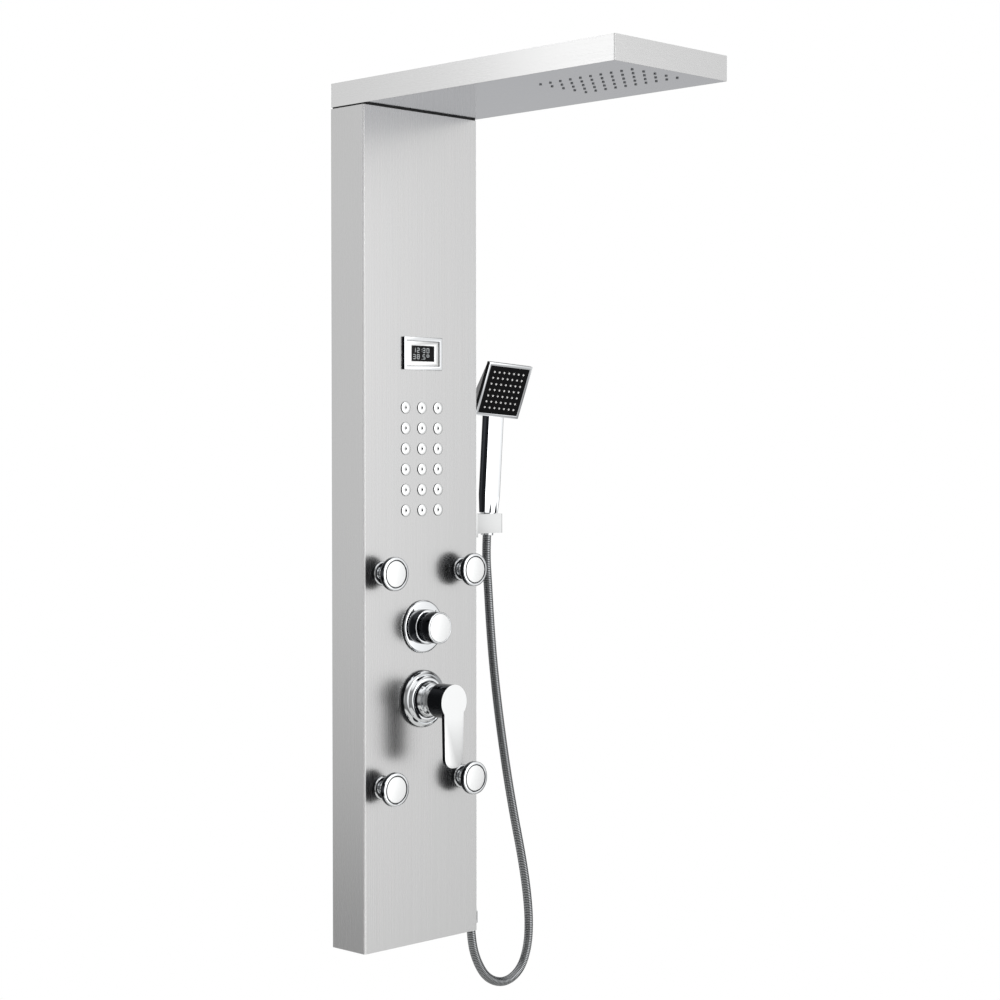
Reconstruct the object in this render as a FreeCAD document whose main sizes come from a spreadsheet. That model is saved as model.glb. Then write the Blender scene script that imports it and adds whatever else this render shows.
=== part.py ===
"""Shower panel column: a folded steel column that hangs on the wall, with a rain head, a
temperature display, eighteen small jets, four swivelling body jets, a diverter, a single-lever
mixer and a hand shower on a hose.

The frame is in millimetres. The origin is the middle of the upper wall bracket, on the wall.
+X is to the right of someone who faces the panel, +Z is up, and the wall is the plane Y = 0, so
that everything stands out from it towards -Y. Heights in the sheet are above the column's foot.
"""
import FreeCAD, Part
import math
import os

import Sketcher

DRIVING_SIZES = {
    # column and rain head
    "column_width": 200,
    "column_depth": 61,
    "column_height": 1068,
    "sheet_wall": 1.2,
    "bend_radius": 2.5,
    "return_flange": 8,
    "end_cap_wall": 1.5,
    "hang_height": 900,
    "head_length": 480,
    "head_thickness": 30,
    "head_seam": 2,
    "seam_inset": 1.5,
    "rain_pitch_across": 20,
    "rain_pitch_along": 16,
    "rain_columns": 5,
    "rain_rows": 10,
    "rain_field_from_tip": 98.5,
    "rain_tip_radius": 1.6,
    "rain_tip_drop": 1.2,
    "rain_mat_wall": 2,
    "rain_mat_margin": 12,
    "chamber_depth": 13,
    "chamber_wall": 2,
    # display
    "display_height": 759.5,
    "bezel_width": 67,
    "bezel_tall": 42,
    "bezel_proud": 3.5,
    "bezel_rim": 5,
    "window_width": 40,
    "window_tall": 20,
    "inner_frame_sunk": 1,
    "inner_frame_wall": 3,
    "lens_wall": 1.5,
    "module_depth": 12,
    "sensor_radius": 3,
    # small jets
    "mini_columns": 3,
    "mini_rows": 6,
    "mini_pitch_across": 28.5,
    "mini_pitch_up": 26.3,
    "mini_below_display": 69.5,
    "mini_radius": 7.8,
    "mini_proud": 1.6,
    "mini_stem_radius": 5.5,
    "mini_nut_radius": 8.5,
    "mini_nut_wall": 4,
    "mini_bore": 1.4,
    "manifold_depth": 14,
    "manifold_margin": 12,
    # body jets
    "jet_offset": 70,
    "jet_low": 208,
    "jet_high": 480,
    "jet_base_radius": 15.5,
    "jet_base_proud": 4.5,
    "jet_shank_radius": 10.5,
    "jet_bore": 9.1,
    "jet_lip_radius": 8.75,
    "jet_ball_radius": 9.0,
    "jet_ball_proud": 1.5,
    "jet_neck_radius": 5.5,
    "jet_head_radius": 21.5,
    "jet_head_back": 19,
    "jet_head_front": 27.5,
    "jet_face_radius": 17,
    "jet_nut_wall": 6,
    "jet_chamfer": 1.5,
    "jet_seat_wall": 4.7,
    "jet_seat_ledge": 2.5,
    "jet_shank_past": 12,
    "jet_shank_end_wall": 3,
    # diverter
    "diverter_up": 408.5,
    "diverter_flange_radius": 34,
    "diverter_flange_wall": 4,
    "diverter_collar_radius": 21,
    "diverter_collar_proud": 15,
    "knob_radius": 20.4,
    "knob_back": 19,
    "knob_front": 34,
    "knob_wall": 2.4,
    "knob_cap_wall": 1.5,
    "stem_radius": 4.5,
    "valve_radius": 22,
    "valve_back": 10,
    # mixer
    "mixer_up": 315.5,
    "mixer_flange_radius": 37,
    "mixer_flange_proud": 12,
    "mixer_bonnet_radius": 23,
    "mixer_bonnet_proud": 19,
    "mixer_ring_radius": 18,
    "mixer_ring_proud": 28,
    "cartridge_radius": 16,
    "pivot_proud": 25,
    "lever_radius": 22.3,
    "lever_back": 33,
    "lever_front": 59,
    "lever_wall": 2.6,
    "lever_reach": 84,
    "paddle_width": 35,
    "paddle_tip_width": 31,
    "paddle_wall": 5,
    # pipes
    "inlet_spacing": 150,
    "inlet_thread_radius": 10.48,
    "pipe_radius": 6,
    "pipe_bore": 5,
    "front_pipe_depth": 46,
    "middle_pipe_depth": 31,
    "rear_pipe_depth": 18,
    "handset_pipe_across": 48,
    # holder and hand shower
    "holder_up": 538,
    "holder_tall": 25.5,
    "holder_reach": 53,
    "holder_deep": 30,
    "holder_plate_wall": 4,
    "holder_plate_drop": 5,
    "handset_across": 138.5,
    "handset_depth": 42,
    "handset_lean": 4,
    "handset_turn": 6,
    "plate_pitch": 20.8,
    "plate_side": 74,
    "plate_wall": 6,
    "plate_rim": 1.5,
    "hump_margin": 1,
    "hump_back_width": 48,
    "hump_back_foot": 16,
    "hump_back_top": 38,
    "plate_face_side": 66,
    "plate_face_sunk": 0.6,
    "plate_above_seat": 142,
    "spray_pitch": 8.25,
    "spray_count": 7,
    "spray_tip_radius": 1.3,
    "spray_tip_proud": 1.0,
    "handle_width": 27,
    "handle_depth": 16,
    "handle_foot_width": 24,
    "handle_taper": 24,
    # hose
    "hose_radius": 6,
    "hose_bore": 3.5,
    "hose_rib_depth": 0.7,
    "nut_top_radius": 10.4,
    "nut_foot_radius": 8.4,
    "nut_length": 30,
    "socket_gap": 0.3,
    "outlet_height": 26,
    "outlet_across": 117,
    "hose_foot_up": 3,
    "hose_drop": 25,
    "outlet_nut_radius": 9.3,
    "outlet_nut_length": 15,
    # fasteners and fits
    "running_gap": 0.08,
    "fit_gap": 0.2,
    "screw_radius": 2.4,
    "screw_head_radius": 4.4,
    "screw_head_tall": 3,
    "bracket_wall": 3,
    "bracket_width": 160,
    "bracket_tall": 40,
    "bracket_hole_spacing": 100,
    "bracket_hole_radius": 3.2,
    "lower_bracket_up": 60,
    "strap_wall": 2,
}

doc = FreeCAD.newDocument("shower_panel_column")
sheet = doc.addObject("Spreadsheet::Sheet", "Sizes")
for row, (name, number) in enumerate(DRIVING_SIZES.items(), start=1):
    sheet.set(f"A{row}", name)
    sheet.set(f"B{row}", str(number))
    sheet.setAlias(f"B{row}", name)
doc.recompute()


class Size:
    """A length that knows both its value and the sheet expression that gives it."""

    def __init__(self, value, text):
        self.value = float(value)
        self.text = text

    def __add__(self, other):
        return Size(self.value + value_of(other), f"({self.text} + {text_of(other)})")

    def __radd__(self, other):
        return Size(value_of(other) + self.value, f"({text_of(other)} + {self.text})")

    def __sub__(self, other):
        return Size(self.value - value_of(other), f"({self.text} - {text_of(other)})")

    def __rsub__(self, other):
        return Size(value_of(other) - self.value, f"({text_of(other)} - {self.text})")

    def __mul__(self, other):
        return Size(self.value * value_of(other), f"({self.text} * {text_of(other)})")

    __rmul__ = __mul__

    def __truediv__(self, other):
        return Size(self.value / value_of(other), f"({self.text} / {text_of(other)})")

    def __neg__(self):
        return Size(-self.value, f"(-{self.text})")


def value_of(length):
    return length.value if isinstance(length, Size) else float(length)


def text_of(length):
    return length.text if isinstance(length, Size) else f"({float(length)!r})"


def leg(long_side, short_side):
    """The third side of a right triangle, from its longest side and another."""
    value = math.sqrt(value_of(long_side) ** 2 - value_of(short_side) ** 2)
    return Size(value, f"sqrt({text_of(long_side)}^2 - {text_of(short_side)}^2)")


def vector(x, y, z):
    return FreeCAD.Vector(value_of(x), value_of(y), value_of(z))


class Sheet:
    """Gives every cell of the sheet as a Size, by its alias."""

    def __getattr__(self, name):
        return Size(getattr(sheet, name), f"Sizes.{name}")


size = Sheet()
nodes = {}


# --- places that several pieces share -------------------------------------------------------

def up(height):
    """The frame's Z of a height above the column's foot."""
    return height - size.hang_height


half_width = size.column_width / 2
front = -size.column_depth
inside_front = front + size.sheet_wall
head_bottom = up(size.column_height + size.head_seam)
rain_centre = size.rain_field_from_tip - size.head_length
rain_half_across = (size.rain_columns - 1) * size.rain_pitch_across / 2 + size.rain_mat_margin
rain_half_along = (size.rain_rows - 1) * size.rain_pitch_along / 2 + size.rain_mat_margin
first_rain_x = -rain_half_across + size.rain_mat_margin
first_rain_y = rain_centre - rain_half_along + size.rain_mat_margin
mat_top = size.end_cap_wall + size.rain_mat_wall
head_screw_across = half_width - 20
head_screw_depth = size.column_depth / 2
seam_opening = head_screw_across - 15
bracket_heights = {"upper": size.hang_height, "lower": size.lower_bracket_up}
strap_screw_offset = size.bracket_width / 2 - 10
holder_screw_offset = 10
holder_screw_grip = 18
sensor_height = (size.mixer_up + size.diverter_up) / 2
mini_half_across = (size.mini_columns - 1) * size.mini_pitch_across / 2
mini_highest = size.display_height - size.mini_below_display
mini_lowest = mini_highest - (size.mini_rows - 1) * size.mini_pitch_up
manifold_front = inside_front + size.mini_nut_wall
manifold_back = manifold_front + size.manifold_depth

jet_places = {"upper_left": (-1, size.jet_high), "upper_right": (1, size.jet_high),
              "lower_left": (-1, size.jet_low), "lower_right": (1, size.jet_low)}
ball_y = front - size.jet_ball_proud
seat_bore = size.jet_ball_radius / 2
seat_front = ball_y + leg(size.jet_ball_radius, seat_bore) + size.running_gap
seat_back = seat_front + size.jet_seat_wall
shank_back = seat_back + size.jet_shank_past
jet_face_seat = front - size.jet_head_front + 2.5

stem_back = -30
stem_front = front - size.knob_front + size.knob_cap_wall + size.knob_wall - 0.5
cartridge_back = -30
cartridge_front = front - 11
rotor_radius = size.cartridge_radius - 5.2
rotor_front = front - size.pivot_proud - 4
pivot_y = front - size.pivot_proud
tongue_half = 3.7
tongue_round = 4
pin_radius = 1.5
inlet_collar_back = -11
inlet_end = -2

outlet_pipe_radius = size.pipe_radius
outlet_inner_end = half_width - size.sheet_wall - 2
HOSE_RIBS = 200
HOSE_HOLDER_UP = 538
nut_foot = -16
handset_place = FreeCAD.Placement(
    vector(size.handset_across, -size.handset_depth, up(size.holder_up)),
    FreeCAD.Rotation(FreeCAD.Vector(0, 1, 0), value_of(size.handset_lean)).multiply(
        FreeCAD.Rotation(FreeCAD.Vector(0, 0, 1), -value_of(size.handset_turn))))


# --- ways of making a piece -----------------------------------------------------------------

def keep(node_name, piece):
    """Names a finished piece, which becomes a node of its own."""
    piece.Label = node_name
    nodes[node_name] = piece
    return piece


def bind(feature, settings):
    """Ties each named property of a feature to its size."""
    for name, length in settings.items():
        feature.setExpression(name, text_of(length))


def place(feature, x=0, y=0, z=0):
    bind(feature, {"Placement.Base.x": x, "Placement.Base.y": y, "Placement.Base.z": z})


def box(name, x, y, z):
    """A block between two limits along each axis."""
    block = doc.addObject("Part::Box", name)
    bind(block, {"Length": x[1] - x[0], "Width": y[1] - y[0], "Height": z[1] - z[0]})
    place(block, x[0], y[0], z[0])
    return block


def rod(name, radius, start, length, along="z"):
    """A round bar from a start point, a length along +X, +Z or outwards (-Y)."""
    bar = doc.addObject("Part::Cylinder", name)
    bind(bar, {"Radius": radius, "Height": length})
    if along == "x":
        bar.Placement.Rotation = FreeCAD.Rotation(FreeCAD.Vector(0, 1, 0), 90)
    if along == "out":
        seam_turn = FreeCAD.Rotation(FreeCAD.Vector(0, 0, 1), 40)
        bar.Placement.Rotation = FreeCAD.Rotation(FreeCAD.Vector(1, 0, 0), 90).multiply(seam_turn)
    place(bar, *start)
    return bar


def tube(name, radius, bore, start, length, along="z"):
    """A round bar with a hole from end to end."""
    return cut(name, rod(name + "_outside", radius, start, length, along),
               rod(name + "_inside", bore, start, length, along))


def fuse(name, *pieces):
    joined = doc.addObject("Part::MultiFuse", name)
    joined.Shapes = list(pieces)
    joined.Refine = True
    return joined


def group(name, *pieces):
    """Separate solids of one kind that share a node."""
    together = doc.addObject("Part::Compound", name)
    together.Links = list(pieces)
    return together


def cut(name, base, *tools):
    for number, tool in enumerate(tools, start=1):
        remainder = doc.addObject("Part::Cut", f"{name}_cut_{number}")
        remainder.Base = base
        remainder.Tool = tool
        base = remainder
    return base


def new_body(name):
    return doc.addObject("PartDesign::Body", name)


def new_sketch(body, name, role, offset=None):
    """A sketch on one of the body's own origin planes, shifted along its normal by an offset."""
    sketch = body.newObject("Sketcher::SketchObject", name)
    plane = next(item for item in body.Origin.OriginFeatures if item.Role == role)
    sketch.AttachmentSupport = [(plane, "")]
    sketch.MapMode = "FlatFace"
    if offset is not None:
        sketch.setExpression("AttachmentOffset.Base.z", text_of(offset))
    return sketch


def hold(sketch, kind, *reference, length):
    """One dimension of a sketch, tied to its size."""
    index = sketch.addConstraint(Sketcher.Constraint(kind, *reference, value_of(length)))
    sketch.setExpression(f"Constraints[{index}]", text_of(length))


def draw_outline(sketch, corners):
    """A closed outline of straight sides, with every corner held at its two coordinates."""
    first = sketch.GeometryCount
    points = [FreeCAD.Vector(value_of(a), value_of(b), 0) for a, b in corners]
    count = len(points)
    for number in range(count):
        sketch.addGeometry(Part.LineSegment(points[number], points[(number + 1) % count]))
    for number in range(count):
        following = first + (number + 1) % count
        sketch.addConstraint(Sketcher.Constraint("Coincident", first + number, 2, following, 1))
    for number, (a, b) in enumerate(corners):
        hold(sketch, "DistanceX", -1, 1, first + number, 1, length=a)
        hold(sketch, "DistanceY", -1, 1, first + number, 1, length=b)


def draw_rectangle(sketch, x, y):
    draw_outline(sketch, [(x[0], y[0]), (x[1], y[0]), (x[1], y[1]), (x[0], y[1])])


def draw_circle(sketch, a, b, radius):
    index = sketch.addGeometry(
        Part.Circle(FreeCAD.Vector(value_of(a), value_of(b), 0), FreeCAD.Vector(0, 0, 1), value_of(radius)))
    hold(sketch, "Radius", index, length=radius)
    hold(sketch, "DistanceX", -1, 1, index, 3, length=a)
    hold(sketch, "DistanceY", -1, 1, index, 3, length=b)


def pad(body, sketch, length, name):
    feature = body.newObject("PartDesign::Pad", name)
    feature.Profile = sketch
    bind(feature, {"Length": length})
    body.Tip = feature
    return feature


def pocket(body, sketch, length, name, reverse=False):
    """Cuts a sketch into the solid, and makes sure that something was cut away."""
    doc.recompute()
    before = body.Shape.Volume
    feature = body.newObject("PartDesign::Pocket", name)
    feature.Profile = sketch
    feature.Reversed = reverse
    bind(feature, {"Length": length})
    body.Tip = feature
    doc.recompute()
    if not body.Shape.Volume < before - 0.01:
        raise ValueError(f"{name} cuts nothing")
    return feature


def pattern(body, feature, sketch, across, up_step=None):
    """Repeats a feature: (count, pitch) along the sketch's X and, if given, along its Y."""
    grid = body.newObject("PartDesign::LinearPattern", feature.Name + "_grid")
    grid.Originals = [feature]
    grid.Direction = (sketch, ["H_Axis"])
    grid.Occurrences = int(value_of(across[0]))
    bind(grid, {"Length": (across[0] - 1) * across[1]})
    if up_step is not None:
        grid.Direction2 = (sketch, ["V_Axis"])
        grid.Occurrences2 = int(value_of(up_step[0]))
        bind(grid, {"Length2": (up_step[0] - 1) * up_step[1]})
    body.Tip = grid
    return grid


def round_edges(body, radius, wanted, name="rounding"):
    """Rounds the edges that the test picks out."""
    doc.recompute()
    base = body.Tip
    names = [f"Edge{number}" for number, edge in enumerate(base.Shape.Edges, start=1) if wanted(edge)]
    fillet = body.newObject("PartDesign::Fillet", name)
    fillet.Base = (base, names)
    bind(fillet, {"Radius": radius})
    body.Tip = fillet
    return fillet


def runs_along(edge, axis):
    """Whether a straight edge runs along the axis, given as 0, 1 or 2."""
    if edge.Curve.TypeId != "Part::GeomLine":
        return False
    direction = edge.Curve.Direction
    return abs(abs(direction[axis]) - 1) < 1e-6


def turned(name, profile, x=0, z=0):
    """A piece turned about an axis that points out of the wall: (radius, Y) corners."""
    body = new_body(name)
    sketch = new_sketch(body, name + "_profile", "XY_Plane")
    draw_outline(sketch, profile)
    turn = body.newObject("PartDesign::Revolution", name + "_turn")
    turn.Profile = sketch
    turn.ReferenceAxis = (sketch, ["V_Axis"])
    turn.Angle = 360
    body.Tip = turn
    place(body, x, 0, z)
    return body


def rounded_route(points):
    """Straight runs joined by tangent arcs, each as large as its two runs allow."""
    edges = []
    radii = []
    start = points[0]
    for before, corner, after in zip(points, points[1:], points[2:]):
        back = (before - corner).normalize()
        ahead = (after - corner).normalize()
        turn = math.pi - back.getAngle(ahead)
        cut_back = 0.45 * min((before - corner).Length, (after - corner).Length)
        radius = cut_back / math.tan(turn / 2)
        middle = (back + ahead).normalize()
        to_centre = radius / math.cos(turn / 2)
        entry = corner + back * cut_back
        leave = corner + ahead * cut_back
        crown = corner + middle * (to_centre - radius)
        edges.append(Part.LineSegment(start, entry).toShape())
        edges.append(Part.Arc(entry, crown, leave).toShape())
        radii.append(radius)
        start = leave
    edges.append(Part.LineSegment(start, points[-1]).toShape())
    return Part.Wire(edges), radii


def swept_circle(route, radius):
    """A solid round bar along a route."""
    start = route.Edges[0].Vertexes[0].Point
    direction = route.Edges[0].tangentAt(route.Edges[0].FirstParameter)
    ring = Part.Wire(Part.Circle(start, direction, radius).toShape())
    return route.makePipeShell([ring], True, False)


def shaped(name, shape, placement=None):
    """A piece whose shape is worked out here, put in its place afterwards."""
    piece = doc.addObject("Part::Feature", name)
    piece.Shape = shape
    if placement is not None:
        piece.Placement = placement
    return piece


# --- column ---------------------------------------------------------------------------------

def column_casing():
    """A folded sheet: front, two sides and two flanges that lie on the wall."""
    body = new_body("column_casing")
    inside_half = half_width - size.sheet_wall
    outside = new_sketch(body, "casing_outside", "XY_Plane")
    draw_rectangle(outside, (-half_width, half_width), (front, 0))
    pad(body, outside, size.column_height, "casing_block")
    round_edges(body, size.bend_radius, lambda edge: runs_along(edge, 2)
                and edge.BoundBox.YMax < value_of(front) / 2, "outer_bends")
    inside = new_sketch(body, "casing_inside", "XY_Plane")
    draw_rectangle(inside, (-inside_half, inside_half), (inside_front, -size.sheet_wall))
    pocket(body, inside, size.column_height, "casing_hollow", reverse=True)
    back = new_sketch(body, "casing_back", "XY_Plane")
    flange_edge = half_width - size.return_flange
    draw_rectangle(back, (-flange_edge, flange_edge), (-size.sheet_wall - 1, 1))
    pocket(body, back, size.column_height, "casing_back_opening", reverse=True)

    window = new_sketch(body, "display_opening", "XZ_Plane", -inside_front - 1)
    half_opening = size.bezel_width / 2 - size.bezel_rim
    draw_rectangle(window, (-half_opening, half_opening),
                   (size.display_height - size.bezel_tall / 2 + size.bezel_rim,
                    size.display_height + size.bezel_tall / 2 - size.bezel_rim))
    pocket(body, window, size.sheet_wall + 2, "display_cutout", reverse=True)

    taps = new_sketch(body, "tap_holes", "XZ_Plane", -inside_front - 1)
    for side in (-1, 1):
        for height in (size.jet_low, size.jet_high):
            draw_circle(taps, side * size.jet_offset, height, size.jet_shank_radius + size.fit_gap)
    draw_circle(taps, 0, size.diverter_up, size.diverter_collar_radius - 5 + size.fit_gap)
    draw_circle(taps, 0, size.mixer_up, size.mixer_bonnet_radius + size.fit_gap)
    pocket(body, taps, size.sheet_wall + 2, "tap_cutouts", reverse=True)

    small = new_sketch(body, "small_jet_hole", "XZ_Plane", -inside_front - 1)
    draw_circle(small, -mini_half_across, mini_lowest, size.mini_stem_radius + size.fit_gap)
    hole = pocket(body, small, size.sheet_wall + 2, "small_jet_cutout", reverse=True)
    pattern(body, hole, small, (size.mini_columns, size.mini_pitch_across),
            (size.mini_rows, size.mini_pitch_up))

    side = new_sketch(body, "side_holes", "YZ_Plane", half_width - size.sheet_wall - 1)
    draw_circle(side, -size.middle_pipe_depth, size.outlet_height, outlet_pipe_radius + size.fit_gap)
    for offset in (-1, 1):
        draw_circle(side, -size.handset_depth + offset * holder_screw_offset,
                    size.holder_up, size.screw_radius + size.fit_gap)
    pocket(body, side, size.sheet_wall + 2, "side_cutouts", reverse=True)
    place(body, 0, 0, up(0))
    keep("column_casing", body)


def end_cap(name, low, holes):
    """A plate that closes an end of the column, with round holes at (x, y, radius)."""
    body = new_body(name)
    sketch = new_sketch(body, name + "_outline", "XY_Plane")
    edge = half_width - size.sheet_wall - size.fit_gap
    draw_rectangle(sketch, (-edge, edge), (inside_front + size.fit_gap, -size.sheet_wall - size.fit_gap))
    for x, y, radius in holes:
        draw_circle(sketch, x, y, radius)
    pad(body, sketch, size.end_cap_wall, name + "_plate")
    place(body, 0, 0, low)
    keep(name, body)


def wall_fixing():
    """Straps across the column's back, and the brackets on the wall that carry them."""
    straps = []
    brackets = []
    strap_half = half_width - size.sheet_wall
    half_bracket = size.bracket_width / 2
    half_tall = size.bracket_tall / 2
    for name, height in bracket_heights.items():
        middle = up(height)
        strap = box(name + "_strap", (-strap_half, strap_half),
                    (-size.bracket_wall - size.strap_wall, -size.bracket_wall),
                    (middle - half_tall, middle + half_tall))
        straps.append(cut(name + "_strap", strap,
                          *wall_screw_holes(name, middle, size.bracket_hole_radius + 3),
                          *strap_screw_holes(name + "_strap", middle)))
        bracket = box(name + "_bracket", (-half_bracket, half_bracket), (-size.bracket_wall, 0),
                      (middle - half_tall, middle + half_tall))
        brackets.append(cut(name + "_bracket", bracket,
                            *wall_screw_holes(name + "_bracket", middle, size.bracket_hole_radius),
                            *strap_screw_holes(name + "_bracket", middle)))
    keep("cross_straps", group("cross_straps", *straps))
    keep("wall_brackets", group("wall_brackets", *brackets))


def wall_screw_holes(name, middle, radius):
    return [rod(f"{name}_wall_hole_{side}", radius, (side * size.bracket_hole_spacing / 2, 1, middle),
                size.bracket_wall + size.strap_wall + 2, "out") for side in (-1, 1)]


def strap_screw_holes(name, middle):
    return [rod(f"{name}_screw_hole_{side}", size.screw_radius + size.fit_gap,
                (side * strap_screw_offset, 1, middle), size.bracket_wall + size.strap_wall + 2, "out")
            for side in (-1, 1)]


def screw(name, start, grip, along):
    """A pan-head screw that starts at the seat of its head, with its shank along the axis."""
    shank = rod(name + "_shank", size.screw_radius, start, grip, along)
    head_start = list(start)
    axis = {"x": 0, "out": 1, "z": 2}[along]
    back = {"x": -1, "out": 1, "z": -1}[along]
    head_start[axis] = start[axis] + back * size.screw_head_tall
    head = rod(name + "_head", size.screw_head_radius, head_start, size.screw_head_tall, along)
    return fuse(name, shank, head)


def panel_screws():
    """The screws of the straps and those that hold the hand shower's holder from inside."""
    screws = []
    for name, height in bracket_heights.items():
        for side in (-1, 1):
            seat = (side * strap_screw_offset, -size.bracket_wall - size.strap_wall, up(height))
            shank = rod(f"{name}_screw_shank_{side}", size.screw_radius, (seat[0], -0.3, seat[2]),
                        size.bracket_wall + size.strap_wall, "out")
            head = rod(f"{name}_screw_head_{side}", size.screw_head_radius, seat, size.screw_head_tall, "out")
            screws.append(fuse(f"{name}_screw_{side}", shank, head))
    for side in (-1, 1):
        start = (half_width - size.sheet_wall, -size.handset_depth + side * holder_screw_offset,
                 up(size.holder_up))
        screws.append(screw(f"holder_screw_{side}", start, holder_screw_grip, "x"))
    keep("panel_screws", group("panel_screws", *screws))


# --- rain head ------------------------------------------------------------------------------

def head_casing():
    """A steel box, open below, that reaches out from the wall over the column."""
    body = new_body("head_casing")
    outside = new_sketch(body, "head_outside", "XY_Plane")
    draw_rectangle(outside, (-half_width, half_width), (-size.head_length, 0))
    pad(body, outside, size.head_thickness, "head_block")
    round_edges(body, size.sheet_wall, lambda edge: runs_along(edge, 2), "head_corners")
    inside = new_sketch(body, "head_inside", "XY_Plane")
    inner = half_width - size.sheet_wall
    draw_rectangle(inside, (-inner, inner), (-size.head_length + size.sheet_wall, -size.sheet_wall))
    pocket(body, inside, size.head_thickness - size.sheet_wall, "head_hollow", reverse=True)
    place(body, 0, 0, head_bottom)
    keep("head_casing", body)


def rain_grid(body, sketch, feature):
    """Repeats the first nozzle over the whole field, from its left, nearest corner."""
    return pattern(body, feature, sketch, (size.rain_columns, size.rain_pitch_across),
                   (size.rain_rows, size.rain_pitch_along))


def head_spray_plate():
    """The plate that closes the head from below, with a hole for every nozzle."""
    body = new_body("head_spray_plate")
    outline = new_sketch(body, "spray_plate_outline", "XY_Plane")
    edge = half_width - size.sheet_wall - size.fit_gap
    draw_rectangle(outline, (-edge, edge),
                   (-size.head_length + size.sheet_wall + size.fit_gap, -size.sheet_wall - size.fit_gap))
    draw_circle(outline, 0, -size.rear_pipe_depth, size.pipe_radius + size.fit_gap)
    for side in (-1, 1):
        draw_circle(outline, side * head_screw_across, -head_screw_depth, size.screw_radius + size.fit_gap)
    pad(body, outline, size.end_cap_wall, "spray_plate")
    hole_sketch = new_sketch(body, "first_rain_hole", "XY_Plane")
    draw_circle(hole_sketch, first_rain_x, first_rain_y, size.rain_tip_radius + size.fit_gap)
    hole = pocket(body, hole_sketch, size.end_cap_wall, "rain_hole", reverse=True)
    rain_grid(body, hole_sketch, hole)
    place(body, 0, 0, head_bottom)
    keep("head_spray_plate", body)


def head_nozzle_mat():
    """One rubber mat on the spray plate, whose soft tips come through the plate's holes."""
    body = new_body("head_nozzle_mat")
    outline = new_sketch(body, "mat_outline", "XY_Plane", size.end_cap_wall)
    draw_rectangle(outline, (-rain_half_across, rain_half_across),
                   (rain_centre - rain_half_along, rain_centre + rain_half_along))
    pad(body, outline, size.rain_mat_wall, "mat")
    tip_sketch = new_sketch(body, "first_tip", "XY_Plane", -size.rain_tip_drop)
    draw_circle(tip_sketch, first_rain_x, first_rain_y, size.rain_tip_radius)
    tip = pad(body, tip_sketch, size.rain_tip_drop + size.end_cap_wall, "tip")
    rain_grid(body, tip_sketch, tip)
    place(body, 0, 0, head_bottom)
    keep("head_nozzle_mat", body)


def head_water_chamber():
    """A tray turned over on the mat, so that water from the feed reaches every tip."""
    body = new_body("head_water_chamber")
    outline = new_sketch(body, "chamber_outline", "XY_Plane", mat_top)
    draw_rectangle(outline, (-rain_half_across, rain_half_across),
                   (rain_centre - rain_half_along, rain_centre + rain_half_along))
    pad(body, outline, size.chamber_depth, "chamber_block")
    hollow = new_sketch(body, "chamber_inside", "XY_Plane", mat_top)
    inner_x = rain_half_across - size.chamber_wall
    inner_y = rain_half_along - size.chamber_wall
    draw_rectangle(hollow, (-inner_x, inner_x), (rain_centre - inner_y, rain_centre + inner_y))
    pocket(body, hollow, size.chamber_depth - size.chamber_wall, "chamber_hollow", reverse=True)
    place(body, 0, 0, head_bottom)
    keep("head_water_chamber", body)


def head_gasket():
    """A dark strip in the seam, set in a little from the steel all round."""
    edge = half_width - size.seam_inset
    strip = box("seam_strip", (-edge, edge), (front + size.seam_inset, -size.seam_inset),
                (up(size.column_height), head_bottom))
    opening = box("seam_opening", (-seam_opening, seam_opening), (front + 12, -12),
                  (up(size.column_height) - 1, head_bottom + 1))
    keep("head_gasket", cut("head_gasket", strip, opening, *[
        rod(f"seam_screw_hole_{side}", size.screw_radius + size.fit_gap,
            (side * head_screw_across, -head_screw_depth, up(size.column_height) - 1), size.head_seam + 2)
        for side in (-1, 1)]))


def head_screws():
    """Screws that clamp the head, the seam strip and the column's top cap together."""
    grip = size.end_cap_wall * 2 + size.head_seam + 6
    low = up(size.column_height) - size.end_cap_wall
    keep("head_screws", group("head_screws", *[
        screw(f"head_screw_{side}", (side * head_screw_across, -head_screw_depth, low), grip, "z")
        for side in (-1, 1)]))


# --- display --------------------------------------------------------------------------------

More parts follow.
